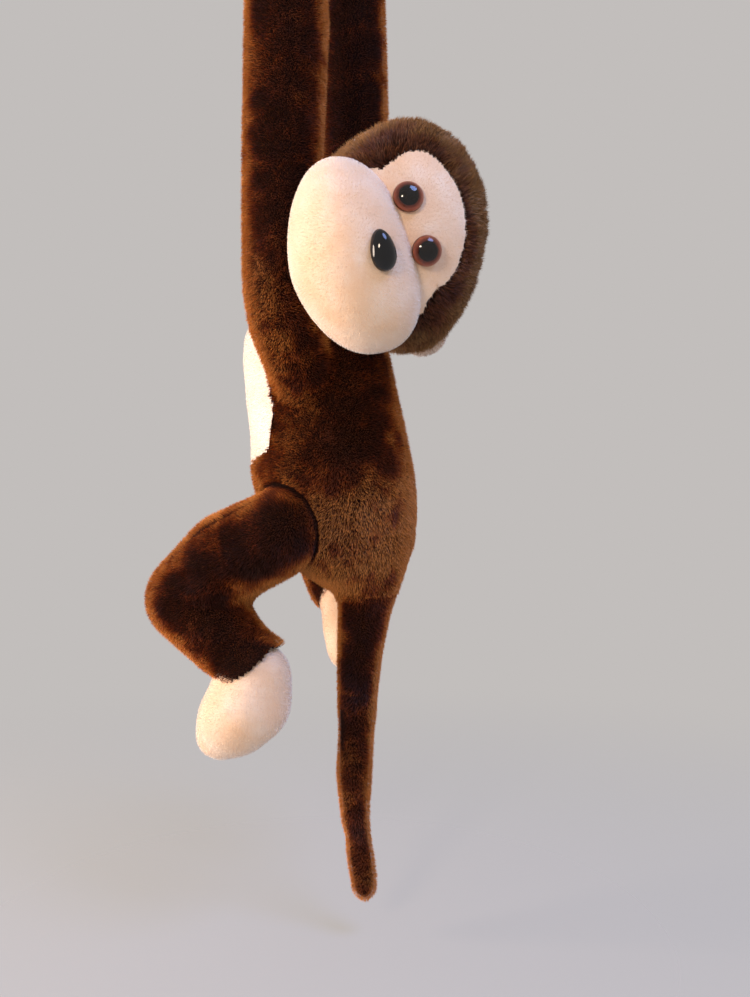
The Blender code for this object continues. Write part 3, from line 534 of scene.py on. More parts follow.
fibre_brown = plush_fibre(
    "chocolate_plush_pile", 0x180806, (0x32110D, 0x42180F, 0x622812, 0x9A461A, 0xCC6C24, 0xEE9848), 0xD87838
)
fibre_head = plush_fibre(
    "head_plush_pile", 0x1C0C06, (0x3A1A0F, 0x4C2413, 0x623019, 0x784020, 0x8C562C, 0xA0703E), 0xC07840
)
fibre_cream = plush_fibre(
    "cream_velour_nap", 0xEFC79F, (0xF2CBA4, 0xF7D5B4, 0xFBE1C8, 0xFDECDC, 0xFFF4EA), 0xFFF0E4
)
fibre_pale = plush_fibre(
    "belly_velour_nap", 0xF8E4D2, (0xFBEADB, 0xFDF0E4, 0xFEF6EE, 0xFFFAF4), 0xFFF6EE
)
backing_brown = plush_backing("chocolate_plush_backing", 0x0E0402, 0x220D06)
backing_head = plush_backing("head_plush_backing", 0x180B05, 0x2E190C)
cream = velour("cream_velour", 0xEFC69E, 0xF7D6B6, 0xFCE6D0, 0xFFF0E4)
pale = velour("belly_velour", 0xF8E4D2, 0xFCEEE2, 0xFFF8F0, 0xFFF6EE)
tape_brown = woven_tape("nylon_hook_and_loop_tape", 0x1E0E07, 0x4A2614)
eye_brown = moulded("brown_clear_acrylic", 0xF0C8A8, 0.02, 1.0)
iris_brown = painted_iris("brown_painted_acrylic", 0x40160E, 0x8A4430, 0xC07A62)
pupil_black = moulded("black_painted_acrylic", 0x050404, 0.4, specular=0.1)
gloss_black = moulded("black_plastic", 0x0A090B, 0.05)


# Skeleton of the sewn shapes, in mm: place and radius at each station

LEG_POSE = {"left": (33.8, 140.8, 64.3, 0.0), "right": (0.0, 118.0, 138.0, -50.0)}
HEAD_CENTRE = Vector((36.5, 59.4, -220.1))
HEAD_HALF = (46.5, 39.0, 40.5)
HEAD_TURN = (
    Matrix.Rotation(math.radians(118), 4, "Z")
    @ Matrix.Rotation(math.radians(15), 4, "X")
    @ Matrix.Rotation(math.radians(70), 4, "Y")
)
HEAD_PLACE = Matrix.Translation(HEAD_CENTRE) @ HEAD_TURN
MUZZLE_HALF = (38.8, 28.0, 24.9)
MUZZLE_PLACE = HEAD_PLACE @ Matrix.Translation((0.3, -30.0, -20.0))
BODY_RINGS = [
    (-240.8, 15.2, 26.3, -1.4),
    (-249.8, 21.3, 35.6, -2.6),
    (-262.2, 25.8, 38.3, -2.4),
    (-281.5, 31.5, 38.3, 1.0),
    (-299.5, 36.1, 37.9, 5.0),
    (-317.4, 38.0, 39.4, 7.2),
    (-334.0, 38.0, 37.5, 11.3),
    (-350.5, 35.3, 32.3, 14.9),
    (-363.0, 27.4, 23.3, 19.2),
    (-370.6, 16.0, 13.5, 22.6),
]


def leg_way(side, degrees):
    """Straight ahead in the leg's plane, turned down by so many degrees."""
    return (
        Matrix.Rotation(math.radians(LEG_POSE[side][3]), 3, "Z")
        @ Matrix.Rotation(math.radians(degrees), 3, "X")
        @ Vector((0, -1, 0))
    )


def arm_stations(sign):
    return [
        (sign * 17, 7.0, -288, 13.0),
        (sign * 26, 4.5, -267, 15.8),
        (sign * 31.5, 1.5, -249, 17.8),
        (sign * 33, 0, -232, 18.4),
        (sign * 33, 0, -181, 18.4),
        (sign * 33, 1.2 * (sign + 1), -112, 17.6 + 0.9 * (sign + 1)),
        (sign * 32.5, 0, -60, 16.2),
        (sign * 29, 0, -8, 14.0),
    ]


def leg_stations(side):
    hip, knee, ankle = JOINTS[f"{side}_hip"], JOINTS[f"{side}_knee"], JOINTS[f"{side}_ankle"]
    up = (knee - ankle).normalized()
    middle = (hip + knee) / 2 + Vector((0, -1.5, 5.2))
    if side == "right":
        calf = (knee + ankle) / 2 + Vector((1.6, -3.0, 0))
        return [(*hip, 20.0), (*middle, 21.0), (*knee, 20.6), (*calf, 20.0), (*(ankle + up * 4), 18.0)]
    knee = knee + Vector((0, 0, 1.6))
    calf = (knee + ankle) / 2
    return [
        (*hip, 20.4),
        (*middle, 21.8),
        (*knee, 21.6),
        (*calf, 19.0),
        (*(ankle + up * 9), 17.0),
        (*(ankle - up * 4), 19.2),
    ]


def foot_stations(side):
    ankle = JOINTS[f"{side}_ankle"]
    up = (JOINTS[f"{side}_knee"] - ankle).normalized()
    along, heelward = leg_way(side, LEG_POSE[side][2]), leg_way(side, LEG_POSE[side][2] + 90)
    if side == "right":
        heel = ankle + along * 8.8 + heelward * 3.5 + Vector((-1.6, 3.1, 0))
        toe = ankle + along * 34.0 - heelward * 1.5
        return [(*(ankle + up * 6), 15.4), (*heel, 17.4), (*((heel + toe) / 2), 16.4), (*toe, 13.8)]
    return [
        (*(ankle + up * 6), 13.8),
        (*(ankle + along * 3.0 + heelward * 4.4), 17.2),
        (*(ankle + along * 15.0 + heelward * 6.0), 20.2),
        (*(ankle + along * 26.0 + heelward * 2.8), 18.2),
        (*(ankle + along * 36.6 - heelward * 0.9), 12.9),
    ]


def hand_stations(sign):
    return [
        (sign * 29, 0, -8, 14.0),
        (sign * 25, 0, 13.1, 15.0),
        (sign * 17, 0, 30.4, 16.0),
        (sign * 14.7, 0, 41.5, 12.5),
    ]


TAIL_STATIONS = [
    (0, 27.0, -362.0, 16.5),
    (0, 24.2, -381.3, 12.8),
    (0, 21.7, -400.5, 11.2),
    (0, 19.3, -439.0, 9.5),
    (0, 18.7, -460.0, 9.0),
    (0, 18.7, -474.0, 7.9),
    (0, 20.4, -486.0, 7.2),
    (0, 24.2, -511.0, 7.0),
]
NECK_STATIONS = [(3.4, 9.4, -246.9, 14.0), (16.5, 29.2, -236.3, 17.0)]


def within(stations, inset):
    return [(x, y, z, r - inset) for x, y, z, r in stations]


def bones_of(stations):
    return [(np.array(a[:3]), np.array(b[:3])) for a, b in zip(stations, stations[1:])]


# Body, arms, legs and tail: one brown skin


def brown_skin():
    lumps = [pear([(z, w - BODY_PILE, d - BODY_PILE, y) for z, w, d, y in BODY_RINGS])]
    for sign, side in SIDES:
        lumps += limb(within(arm_stations(sign), BODY_PILE))
        lumps += limb(within(leg_stations(side), BODY_PILE))
    lumps += limb(within(TAIL_STATIONS, BODY_PILE * 0.8))
    return stuffed(joined("brown_skin", lumps), 3.0, 4, 1.0)


BONES = {
    "torso": [(np.array((0, 2.0, -278.0)), np.array((0, 20.0, -352.0)))],
    "tail": bones_of(TAIL_STATIONS),
}
RADII = {"torso": 34.0, "tail": 16.0}
for sign, side in SIDES:
    BONES[f"{side}_arm"] = [(b, a) for a, b in bones_of(arm_stations(sign))]
    BONES[f"{side}_leg"] = bones_of(leg_stations(side))
    RADII[f"{side}_arm"], RADII[f"{side}_leg"] = 18.0, 20.0


def to_bone(places, a, b):
    """Distance from a bone, and how far along it, in mm."""
    along = b - a
    reach = np.linalg.norm(along)
    t = np.clip((places - a) @ along / reach**2, 0, 1)
    return np.linalg.norm(places - (a + t[:, None] * along), axis=1), t * reach


def part_of(places):
    """The name of the limb, or torso, whose skin each place lies on."""
    names = list(BONES)
    off = np.stack(
        [np.min([to_bone(places, *bone)[0] for bone in BONES[n]], axis=0) / RADII[n] for n in names], 1
    )
    return np.array(names)[np.argmin(off, 1)]


def brushed_along(places):
    """The nap of the brown plush: down each limb from the body's side, and down the body."""
    way = np.zeros_like(places)
    for bones in BONES.values():
        for a, b in bones:
            off, _ = to_bone(places, a, b)
            way += ((b - a) / np.linalg.norm(b - a))[None] / (off[:, None] ** 4 + 50)
    return way.astype(np.float32)


skin = brown_skin()

# Cuts between the arms' pieces and between the tail's, as heights; nothing bends there.
ARM_CUTS = (-181.0, -60.0)
TAIL_CUT = -418.0


def on_part(name, low=-1e9, high=1e9):
    return lambda p: (part_of(p) == name) & (p[:, 2] >= low) & (p[:, 2] < high)


def belly_width(z):
    """Half the belly panel's width at a height: pointed at the throat and blunt between the legs."""
    top, bottom, low, half = -238.0, -312.6, -290.3, 35.3
    under = np.clip((low - z) / (low - bottom), 0, 1)
    over = np.clip((z - low) / (top - low), 0, 1)
    wide = half * np.where(z < low, (1 - under**4) ** 0.3, 1 - over**2.6)
    return np.where((z > top) | (z < bottom), 0, wide)


def on_belly(p):
    return (np.abs(p[:, 0]) < belly_width(p[:, 2])) & (p[:, 1] < -6)


def on_leg(side, low, high):
    """Faces of a leg's skin from low to high millimetres along its bones."""

    def wanted(p):
        reach, best, start = np.zeros(len(p)), np.full(len(p), 1e9), 0.0
        for a, b in BONES[f"{side}_leg"]:
            off, t = to_bone(p, a, b)
            reach = np.where(off < best, start + t, reach)
            best = np.minimum(best, off)
            start += np.linalg.norm(b - a)
        return (part_of(p) == f"{side}_leg") & (reach >= low) & (reach < high)

    return wanted


def knee_fold(side):
    """The way that a bent knee's two halves face each other: midway between thigh and shin."""
    return (leg_way(side, LEG_POSE[side][0]) + leg_way(side, LEG_POSE[side][1])).normalized()


def past_knee(side, low, high=1e9):
    """Faces of a leg's skin from low to high millimetres past the knee, measured across its fold."""
    knee, way = np.array(JOINTS[f"{side}_knee"]), np.array(knee_fold(side))

    def wanted(p):
        past = (p - knee) @ way
        return (part_of(p) == f"{side}_leg") & (past >= low) & (past < high)

    return wanted


def follow(thing, rule):
    """Rides on one body. A bend gives two bodies and the points where it starts and ends; here it is only
    fixed in place.
    """
    if isinstance(rule, str):
        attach(thing, rule)
    else:
        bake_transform(thing)


def across_joint(joint, way, before, after):
    """Where a bend starts and ends: points before and after a joint along a direction."""
    centre = JOINTS[joint]
    return centre - way * before, centre + way * after


# Each piece: what is cut off the skin, the body or bodies it follows, and the CAD nodes it stands for.
CUTS = {}
UP = Vector((0, 0, 1))
KNEE_BEND = {"left": (8, 16), "right": (4, 16)}  # mm before and after the knee
for sign, side in SIDES:
    arm, upper, lower = f"{side}_arm", f"{side}_upper_arm", f"{side}_forearm"
    thigh, shin = f"{side}_thigh", f"{side}_shin"
    # The bend starts at the chest's top edge and leans out.
    root, leaning = Vector((sign * 13, 0, -243)), Vector((sign * 0.5, 0, 0.866))
    bend = ("torso", upper, root, root + leaning * 22)
    CUTS[f"{side}_shoulder_plush"] = (on_part(arm, -1e9, ARM_CUTS[0]), bend, [upper])
    bend = (upper, lower, *across_joint(f"{side}_elbow", UP, 22, 22))
    CUTS[f"{side}_elbow_plush"] = (on_part(arm, *ARM_CUTS), bend, [])
    CUTS[f"{side}_sleeve_plush"] = (on_part(arm, ARM_CUTS[1]), lower, [lower])
    bend = ("torso", thigh, *across_joint(f"{side}_hip", leg_way(side, LEG_POSE[side][0]), 8, 16))
    CUTS[f"{side}_hip_plush"] = (on_leg(side, 0, 17), bend, [thigh])
    # Each cut lies where the bend starts or ends.
    before, after = KNEE_BEND[side]
    CUTS[f"{side}_thigh_plush"] = (past_knee(side, -1e9, -before), thigh, [])
    bend = (thigh, shin, *across_joint(f"{side}_knee", knee_fold(side), before, after))
    CUTS[f"{side}_knee_plush"] = (past_knee(side, -before, after), bend, [])
    CUTS[f"{side}_cuff_plush"] = (past_knee(side, after), shin, [shin])
bend = ("torso", "tail_upper", *across_joint("tail_root", -UP, -12, 48))
CUTS["tail_root_plush"] = (on_part("tail", TAIL_CUT), bend, ["tail_upper"])
bend = ("tail_upper", "tail_lower", *across_joint("tail_bend", -UP, 16, 16))
CUTS["tail_end_plush"] = (on_part("tail", -1e9, TAIL_CUT), bend, ["tail_lower"])
CUTS["belly_velour"] = (on_belly, "torso", ["belly_panel"])
CUTS["torso_plush"] = (None, "torso", ["torso_back_skin", "torso_stuffing"])  # what is left of the skin

FIBRES = 650  # in a square centimetre of brown plush
SHARES = {"sleeve": 0.4, "tail": 1.25, "right": 0.8}  # of FIBRES, by a word in the piece's name
RIGHT_SHARE = 0.8  # of that again, on the body's far side
# Widths of a drawn fibre in mm; a real one is too fine to show.
PLUSH = 0.17
COARSE = 0.24
NAP = 0.14
# Lengths of the brown pile in mm
LONG, TAIL_LONG = 2.9, 2.3


def gauss(places, centre, size):
    """1 at a place on the toy's left and at its match on the right, falling off over size millimetres."""
    off = places - np.array(centre)
    off[:, 0] = np.abs(places[:, 0]) - centre[0]
    return np.exp(-((off / np.array(size)) ** 2).sum(1))


def rump(places):
    """1 over the haunches, where handling has brushed the pile flat."""
    # The distance behind the middle, across the photograph's view
    around = -CAMERA_TOWARD.x * places[:, 1] + CAMERA_TOWARD.y * np.abs(places[:, 0])
    return np.exp(-(((around - 14) / 26) ** 4) - ((places[:, 2] + 343) / 29) ** 4)


def shoulder_brushed_and_sheen(places):
    """1 on the outside of the shoulder, where the pile is brushed too; in the tone it gives painted sheen."""
    return gauss(places, (50, -1, -241), (20, 17, 26))


# Painted sheen on the flank: a lighter patch in the pile's tone.
def flank_painted_sheen(places):
    return gauss(places, (33, 8, -294), (14, 12, 26))


def brushed_flat(places):
    """Degrees that the pile lies over: nearly upright, with brushed patches."""
    patches = lattice_noise(places, 21.0, 5, 1)[:, 0]
    flat = np.clip(patches * 2.2 - 0.35, 0, 1)
    return 13 + 22 * flat * (places[:, 2] < -205) + 36 * rump(places) + 26 * shoulder_brushed_and_sheen(places)


def tone_painted_sheen_and_shade(places):
    """Painted sheen, lighter where the pile is brushed, in mottled patches. The limbs' own pile is darker."""
    which = part_of(places)
    body = which == "torso"
    legs = (which == "left_leg") | (which == "right_leg")
    mottled = 1 + 0.45 * lattice_noise(places, 5.0, 4, 1)[:, 0]
    tail_end = np.clip((-400 - places[:, 2]) / 60, 0, 1) * (which == "tail")
    # Painted sheen over the haunches, shoulder and flank; the tail's pile is lighter towards its end.
    light = 0.95 * rump(places) * body + 0.36 * tail_end
    light += (1.1 * shoulder_brushed_and_sheen(places) + 0.75 * flank_painted_sheen(places)) * ~legs
    patches = 0.22 * lattice_noise(places, 15.0, 6, 1)[:, 0]
    # Painted shade along the seams, where the pile parts.
    return light * mottled + patches - 0.34 - 0.06 * legs - 0.9 * seam(places)


def seam(places):
    """1 on a leg's outer seam and where it is sewn to the body, falling to 0 about 1.5 mm away."""
    near = np.zeros(len(places))
    which = part_of(places)
    for sign, side in SIDES:
        hip, knee = np.array(JOINTS[f"{side}_hip"]), np.array(JOINTS[f"{side}_knee"])
        down = (knee - hip) / np.linalg.norm(knee - hip)
        aside = np.array(Matrix.Rotation(math.radians(LEG_POSE[side][3]), 3, "Z") @ Vector((sign, 0, 0)))
        front = np.cross(aside, down) * sign
        off = places - hip
        along = off @ down
        turn = np.arctan2(off @ aside, -(off @ front))
        miss = np.abs(turn - math.radians(38)) * 21
        on_leg_here = (which == f"{side}_leg") & (along > -6)
        fade = np.clip((58 - along) / 14, 0, 1) * np.clip((along + 6) / 6, 0, 1)
        near = np.maximum(near, np.where(on_leg_here, np.exp(-((miss / 1.3) ** 2)) * fade, 0))
        leg_off = np.min([to_bone(places, *bone)[0] for bone in BONES[f"{side}_leg"]], axis=0) / 20
        body_off = np.min([to_bone(places, *bone)[0] for bone in BONES["torso"]], axis=0) / 34
        near = np.maximum(near, 0.95 * np.exp(-(((leg_off - body_off) / 0.055) ** 2)) * (places[:, 1] < 24))
    return near


def shorn(length, above_cut=None):
    """Pile of that length, sunk into the seams and short at a cut edge."""

    def at(places):
        edge = np.interp(above_cut(places), (0, 7), (0.45, 1)) if above_cut else 1
        return length * edge * (1 - 0.85 * seam(places))

    return at


def finish_piece(thing, look, rule, nodes):
    """Gives a padded piece its material and its body, and lets it stand for its CAD nodes."""
    thing.data.materials.clear()
    thing.data.materials.append(look)
    follow(thing, rule)
    if nodes:
        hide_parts(*nodes)
    return thing


def dressed(thing, hair, look, rule, nodes):
    """Finishes a padded piece and the pile on it."""
    follow(hair, rule)
    finish_piece(thing, look, rule, nodes)


def skin_nodes(names):
    """The skin and stuffing nodes of limbs; other names stay as they are."""
    nodes = []
    for name in names:
        sewn = f"{name}_skin" in frame["nodes"]
        nodes += [f"{name}_skin", f"{name}_stuffing"] if sewn else [name]
    return nodes


def pushed_out(thing, by):
    """Moves a piece's surface outward by that many millimetres."""
    set_corners(thing, corners_of(thing) + rows_of(thing.data.vertex_normals, "vector") * by * MM)


# The cut at each leg's end: how much it leans forward and outward,
# and how far it lies above the ankle in mm
CUFF_CUT = {"left": (-0.446, 0.657, 5.9), "right": (0.0, -0.3, 1.0)}


def from_cuff(side):
    """Millimetres up from the slanting cut at a leg's end."""
    ankle, knee = JOINTS[f"{side}_ankle"], JOINTS[f"{side}_knee"]
    forward, outward, above = CUFF_CUT[side]
    sign = 1 if side == "left" else -1
    aside = Matrix.Rotation(math.radians(LEG_POSE[side][3]), 3, "Z") @ Vector((sign, 0, 0))
    way = (knee - ankle).normalized() + leg_way(side, LEG_POSE[side][1] - 90) * forward + aside * outward
    return lambda p: ((p - np.array(ankle)) @ np.array(way) - above) / way.length


seed = 10
for name, (wanted, rule, nodes) in CUTS.items():
    if wanted:
        piece = split_off(skin, name, wanted)
    else:
        piece = skin
        piece.name = piece.data.name = name
    seed += 7
    if "cuff" in name:
        above_cut = from_cuff(name.split("_")[0])
        bpy.data.objects.remove(split_off(piece, "offcut", lambda p: above_cut(p) < 0))
    if name == "belly_velour":
        chest = np.exp(-(((corners_of(piece)[:, 2] / MM + 244) / 14) ** 2))
        pushed_out(piece, BODY_PILE - 0.9 + 3.4 * chest[:, None])
        nap = pile("belly_nap", piece, FIBRES * 0.7, brushed_along, 1.2, 42, NAP, fibre_pale, seed)
        dressed(piece, nap, pale, rule, nodes)
        continue
    density = FIBRES * next((share for word, share in SHARES.items() if word in name), 1.0)
    halves = {"": None}
    if name == "torso_plush":
        halves = {"_left": lambda p: p[:, 0] >= 0, "_right": lambda p: p[:, 0] < 0}
    long = shorn(TAIL_LONG if "tail" in name else LONG, above_cut if "cuff" in name else None)
    brown_pile = (brushed_along, long, brushed_flat, PLUSH, fibre_brown, seed)
    for word, keep in halves.items():
        share = RIGHT_SHARE if word == "_right" else 1.0
        hair = pile(f"{name}_pile{word}", piece, density * share, *brown_pile, keep=keep, tint=tone_painted_sheen_and_shade)
        follow(hair, rule)
    finish_piece(piece, backing_brown, rule, skin_nodes(nodes))


# The neck is a stuffed length of its own.
NECK_OUT = -244.0  # above this height it comes out of the body
neck = stuffed(joined("neck_plush", limb(within(NECK_STATIONS, BODY_PILE))), 3.0, 4)
brown_pile = (brushed_along, LONG, 20, PLUSH, fibre_brown, 290)
shows = {"keep": lambda p: p[:, 2] > NECK_OUT, "tint": tone_painted_sheen_and_shade}
hair = pile("neck_plush_pile", neck, FIBRES * 0.6, *brown_pile, **shows)
dressed(neck, hair, backing_brown, "torso", [])


# A stuffed ball inside each hip, which shows where the thigh's edge draws away from the body
HIP_BALL, HIP_INWARD = 18.0, 4.0  # its radius, and how far inward of the joint it sits, in mm
for sign, side in SIDES:
    ball_in_hip = ball(JOINTS[f"{side}_hip"] + Vector((-sign * HIP_INWARD, 0, 0)), HIP_BALL)
    stuffed(joined(f"{side}_hip_ball", [ball_in_hip]), 2.4, 2)
    short = (brushed_along, 1.6, 20, COARSE, fibre_brown)
    hair = pile(f"{side}_hip_ball_pile", ball_in_hip, FIBRES * 0.2, *short, 270 + sign)
    dressed(ball_in_hip, hair, backing_brown, "torso", [])


# Feet and hands: cream velour, stuffed

PALM = 1.65  # how far each palm lies from the middle, in mm
short_nap = (1.0, 45, NAP, fibre_cream)


def one_way(way):
    """A nap that is brushed the same way everywhere."""
    return lambda places: np.tile(way, (len(places), 1))


for sign, side in SIDES:
    foot = joined(f"{side}_foot_velour", limb(within(foot_stations(side), VELOUR_PILE)))
    stuffed(foot, 2.4, 26, 1.0)
    along = np.array(leg_way(side, LEG_POSE[side][2]))
    nap = pile(f"{side}_foot_nap", foot, FIBRES * 0.6, one_way(along), *short_nap, 300 + sign)
    dressed(foot, nap, cream, f"{side}_foot", skin_nodes([f"{side}_foot"]))

    hand = joined(f"{side}_hand_velour", limb(within(hand_stations(sign), VELOUR_PILE)))
    stuffed(hand, 2.4, 8)
    only(hand)
    bpy.ops.object.mode_set(mode="EDIT")
    bpy.ops.mesh.select_all(action="SELECT")
    middle = (sign * PALM * MM, 0, 0)
    bpy.ops.mesh.bisect(plane_co=middle, plane_no=(sign, 0, 0), use_fill=True, clear_inner=True)
    bpy.ops.object.mode_set(mode="OBJECT")
    nap = pile(
        f"{side}_hand_nap",
        hand,
        FIBRES * 0.25,
        one_way((0.0, 0.0, 1.0)),
        *short_nap,
        320 + sign,
        keep=lambda p: p[:, 0] * sign > PALM + 0.5,
    )
    dressed(hand, nap, cream, f"{side}_hand", skin_nodes([f"{side}_hand"]))


# The tape sewn to the palms is the CAD's own; it gets its material here.
for patch in ("left_hook_patch", "right_loop_patch"):
    tape = frame["nodes"][patch]
    tape.data.materials.clear()
    tape.data.materials.append(tape_brown)


# Head

# The face patch's outline, in the head's own directions: its middle,
# and its reach in mm at these degrees
FACE_MIDDLE = (-3.5, 1.0)
FACE_DEGREES = (-180, -150, -90, -30, -1, 4, 13, 30, 58, 76, 92, 105, 120, 135, 144, 154, 163, 174, 180)
FACE_REACH = (24, 29, 30, 32, 31.2, 28, 25.8, 26.2, 25.4, 25.6, 26.2, 27.1, 28.2)
FACE_REACH += (29.8, 29.8, 28, 25.2, 22.5, 24)
TO_HEAD = np.array(HEAD_PLACE.inverted())


def in_head(places):
    """Places in the head's own directions: +x its left, -y forward, +z to the crown."""
    return places @ TO_HEAD[:3, :3].T + TO_HEAD[:3, 3]


def from_face(places):
    """Under 1 inside the face patch, on the front of the head."""
    h = in_head(places)
    across, up = h[:, 0] - FACE_MIDDLE[0], h[:, 2] - FACE_MIDDLE[1]
    reach = np.interp(np.degrees(np.arctan2(up, across)), FACE_DEGREES, FACE_REACH)
    return np.where(h[:, 1] < 0, np.hypot(across, up) / reach, 9.0)


def brushed_back(places):
    """The head's pile runs from the face back round the head."""
    h = in_head(places)
    way = np.stack([h[:, 0] * 0.4, np.full(len(h), 30.0), h[:, 2] * 0.4], 1)
    return (way @ np.array(HEAD_TURN)[:3, :3].T).astype(np.float32)


def grown(half, by):
    return tuple(h + by for h in half)


def cornered(thing, place, half, corners):
    """Fuller or slacker stuffing towards the corners at -x+z, +x+z, -x-z and +x-z, by so much of its size."""
    back, out = np.array(place.inverted()), np.array(place)
    h = (corners_of(thing) / MM) @ back[:3, :3].T + back[:3, 3]
    x, z = unit(h / np.array(half))[:, [0, 2]].T
    for (x_sign, z_sign), more in zip(((-1, 1), (1, 1), (-1, -1), (1, -1)), corners):
        h *= 1 + more * (np.clip(x * x_sign, 0, 1) * np.clip(z * z_sign, 0, 1))[:, None]
    set_corners(thing, (h @ out[:3, :3].T + out[:3, 3]) * MM)
    return thing


def skull(smaller):
    """The head's round by so many millimetres less, uneven as its filling lies."""
    round_head = ball(HEAD_PLACE @ Vector((1.6, 0, 0)), 0, grown(HEAD_HALF, -smaller), HEAD_TURN)
    return cornered(round_head, HEAD_PLACE, HEAD_HALF, (0.35, -0.29, -0.05, 0.06))


head = joined("head_plush", [skull(HEAD_PILE)])
stuffed(head, 3.0, 2, 0.8)
face = joined("face_velour", [skull(1.2)])
stuffed(face, 2.0, 2)
rest_of_head = split_off(face, "face_offcut", lambda p: from_face(p) > 1.05)
bpy.data.objects.remove(rest_of_head)


muzzle = ball(MUZZLE_PLACE.translation, 0, grown(MUZZLE_HALF, -VELOUR_PILE), HEAD_TURN)
cornered(muzzle, MUZZLE_PLACE, MUZZLE_HALF, (0.17, 0.14, -0.2, 0))
muzzle = stuffed(joined("muzzle_velour", [muzzle]), 2.4, 3, 0.8)

seed = 500
for name, keep in (
    ("head_pile_left", lambda p: (from_face(p) > 0.97) & (in_head(p)[:, 0] >= 0)),
    ("head_pile_right", lambda p: (from_face(p) > 0.97) & (in_head(p)[:, 0] < 0)),
):
    seed += 7
    shaggy = {"tuft": 3.4, "unrest": 0.75, "keep": keep, "tint": lambda p: -0.3}
    hair = pile(name, head, FIBRES, brushed_back, 4.4, 40, 0.2, fibre_head, seed, **shaggy)
    follow(hair, "head")
for name, backing, long in (("face_nap", face, 0.8), ("muzzle_nap", muzzle, 0.9)):
    seed += 7
    nap = pile(name, backing, FIBRES * 0.7, brushed_back, long, 52, NAP, fibre_cream, seed)
    follow(nap, "head")
finish_piece(head, backing_head, "head", ["head_hood", "head_stuffing"])
finish_piece(face, cream, "head", ["face_patch"])
finish_piece(muzzle, cream, "head", ["muzzle_skin", "muzzle_stuffing"])


# Ears: a cream front and a plush back sewn together

EAR_POSE = {"left": (50.0, -2.0), "right": (74.0, 4.0)}
EAR_SUNK = {"left": 0.0, "right": 2.6}  # into the pile, in mm


def ear_layer(name, lie, lift, half):
    """A thin round of cloth and stuffing, so many millimetres off the ear's middle."""
    middle = (lie @ Matrix.Translation((0, 0, lift))).translation
    layer = joined(name, [ball(middle, 0, half, lie.to_3x3().to_4x4())])
    bpy.ops.object.shade_smooth()
    return layer


for sign, side in SIDES:
    sweep, up = EAR_POSE[side]
    lie = (
        HEAD_PLACE
        @ Matrix.Translation((sign * (HEAD_HALF[0] * 0.93 - EAR_SUNK[side]), 6.0, up))
        @ Matrix.Rotation(math.radians(sign * sweep), 4, "Z")
        @ Matrix.Rotation(math.radians(90), 4, "X")
    )
    back = ear_layer(f"{side}_ear_plush", lie, -1.6, (10.6, 8.0, 1.7))
    front = ear_layer(f"{side}_ear_velour", lie, 0.7, (11.2, 8.6, 1.5))
    for ear, look, fibre, long, word, node_word, slot in (
        (front, cream, fibre_cream, 1.4, "nap", "front", "cream_velour"),
        (back, backing_head, fibre_head, 3.4, "pile", "back", "head_plush"),
    ):
        seed = 700 + sign + len(word)
        hair = pile(f"{side}_ear_{word}", ear, FIBRES, brushed_back, long, 35, COARSE, fibre, seed)
        dressed(ear, hair, look, "head", [f"{side}_ear_{node_word}"])


# Snap-in eyes and nose


def on_front(x, z, half):
    """The front point of an ellipsoid at (x, z), and its outward direction."""
    y = -half[1] * math.sqrt(max(0.0, 1 - (x / half[0]) ** 2 - (z / half[2]) ** 2))
    return Vector((x, y, z)), Vector((x / half[0] ** 2, y / half[1] ** 2, z / half[2] ** 2)).normalized()


def facing_out(point, outward):
    across = (Vector((1, 0, 0)) - outward.x * outward).normalized()
    turn = Matrix((across, outward.cross(across), outward)).transposed().to_4x4()
    return Matrix.Translation(point) @ turn


def button(name, place, half, height, under, look, taper=0.0):
    """A dome with a rolled edge and a flat back: the front half of a flattened ball, its back drawn in."""
    bpy.ops.mesh.primitive_uv_sphere_add(segments=48, ring_count=24, radius=1)
    dome = chosen()
    bpy.ops.object.mode_set(mode="EDIT")
    bpy.ops.mesh.select_all(action="SELECT")
    bpy.ops.mesh.bisect(plane_co=(0, 0, -0.18), plane_no=(0, 0, 1), use_fill=True, clear_inner=True)
    bpy.ops.mesh.select_all(action="SELECT")
    bpy.ops.mesh.normals_make_consistent(inside=False)
    bpy.ops.object.mode_set(mode="OBJECT")
    dome.name = dome.data.name = name
    co = corners_of(dome)
    out = dome.data.attributes.new("from_middle", "FLOAT", "POINT")
    out.data.foreach_set("value", np.hypot(co[:, 0], co[:, 1]))
    co[:, 1] *= 1 + taper * co[:, 0]
    set_corners(dome, co)
    size = Matrix.Diagonal((half[0], half[1], height, 1))
    dome.matrix_world = Matrix.Scale(MM, 4) @ place @ Matrix.Translation((0, 0, under)) @ size
    settle(dome)
    only(dome)
    bpy.ops.object.shade_smooth_by_angle(angle=math.radians(50))
    dome.data.materials.append(look)
    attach(dome, "head")
    return dome


for sign, side in SIDES:
    point, outward = on_front(-3.5 + sign * 10.6, 9.0, HEAD_HALF)
    place = HEAD_PLACE @ facing_out(point, outward)
    lens = button(f"{side}_eye_glass", place, (6.0, 6.0), 4.0, 0.2, eye_brown)
    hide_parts(f"{side}_eye_lens")
    iris = button(f"{side}_eye_brown", place, (5.3, 5.3), 1.2, 0.4, iris_brown)
    pupil = button(f"{side}_eye_black", place, (3.7, 3.7), 2.4, 0.5, pupil_black)
    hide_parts(f"{side}_eye_pupil")
    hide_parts(f"{side}_eye_washer")
point, outward = on_front(0.4, -7.2 + 20.0, MUZZLE_HALF)
place = MUZZLE_PLACE @ facing_out(point + outward * 0.4, outward) @ Matrix.Rotation(math.radians(-9), 4, "Z")
nose = button("nose_black", place, (7.8, 5.0), 4.6, 0.2, gloss_black, taper=0.2)
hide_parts("nose", "nose_washer")


# Camera, light and floor

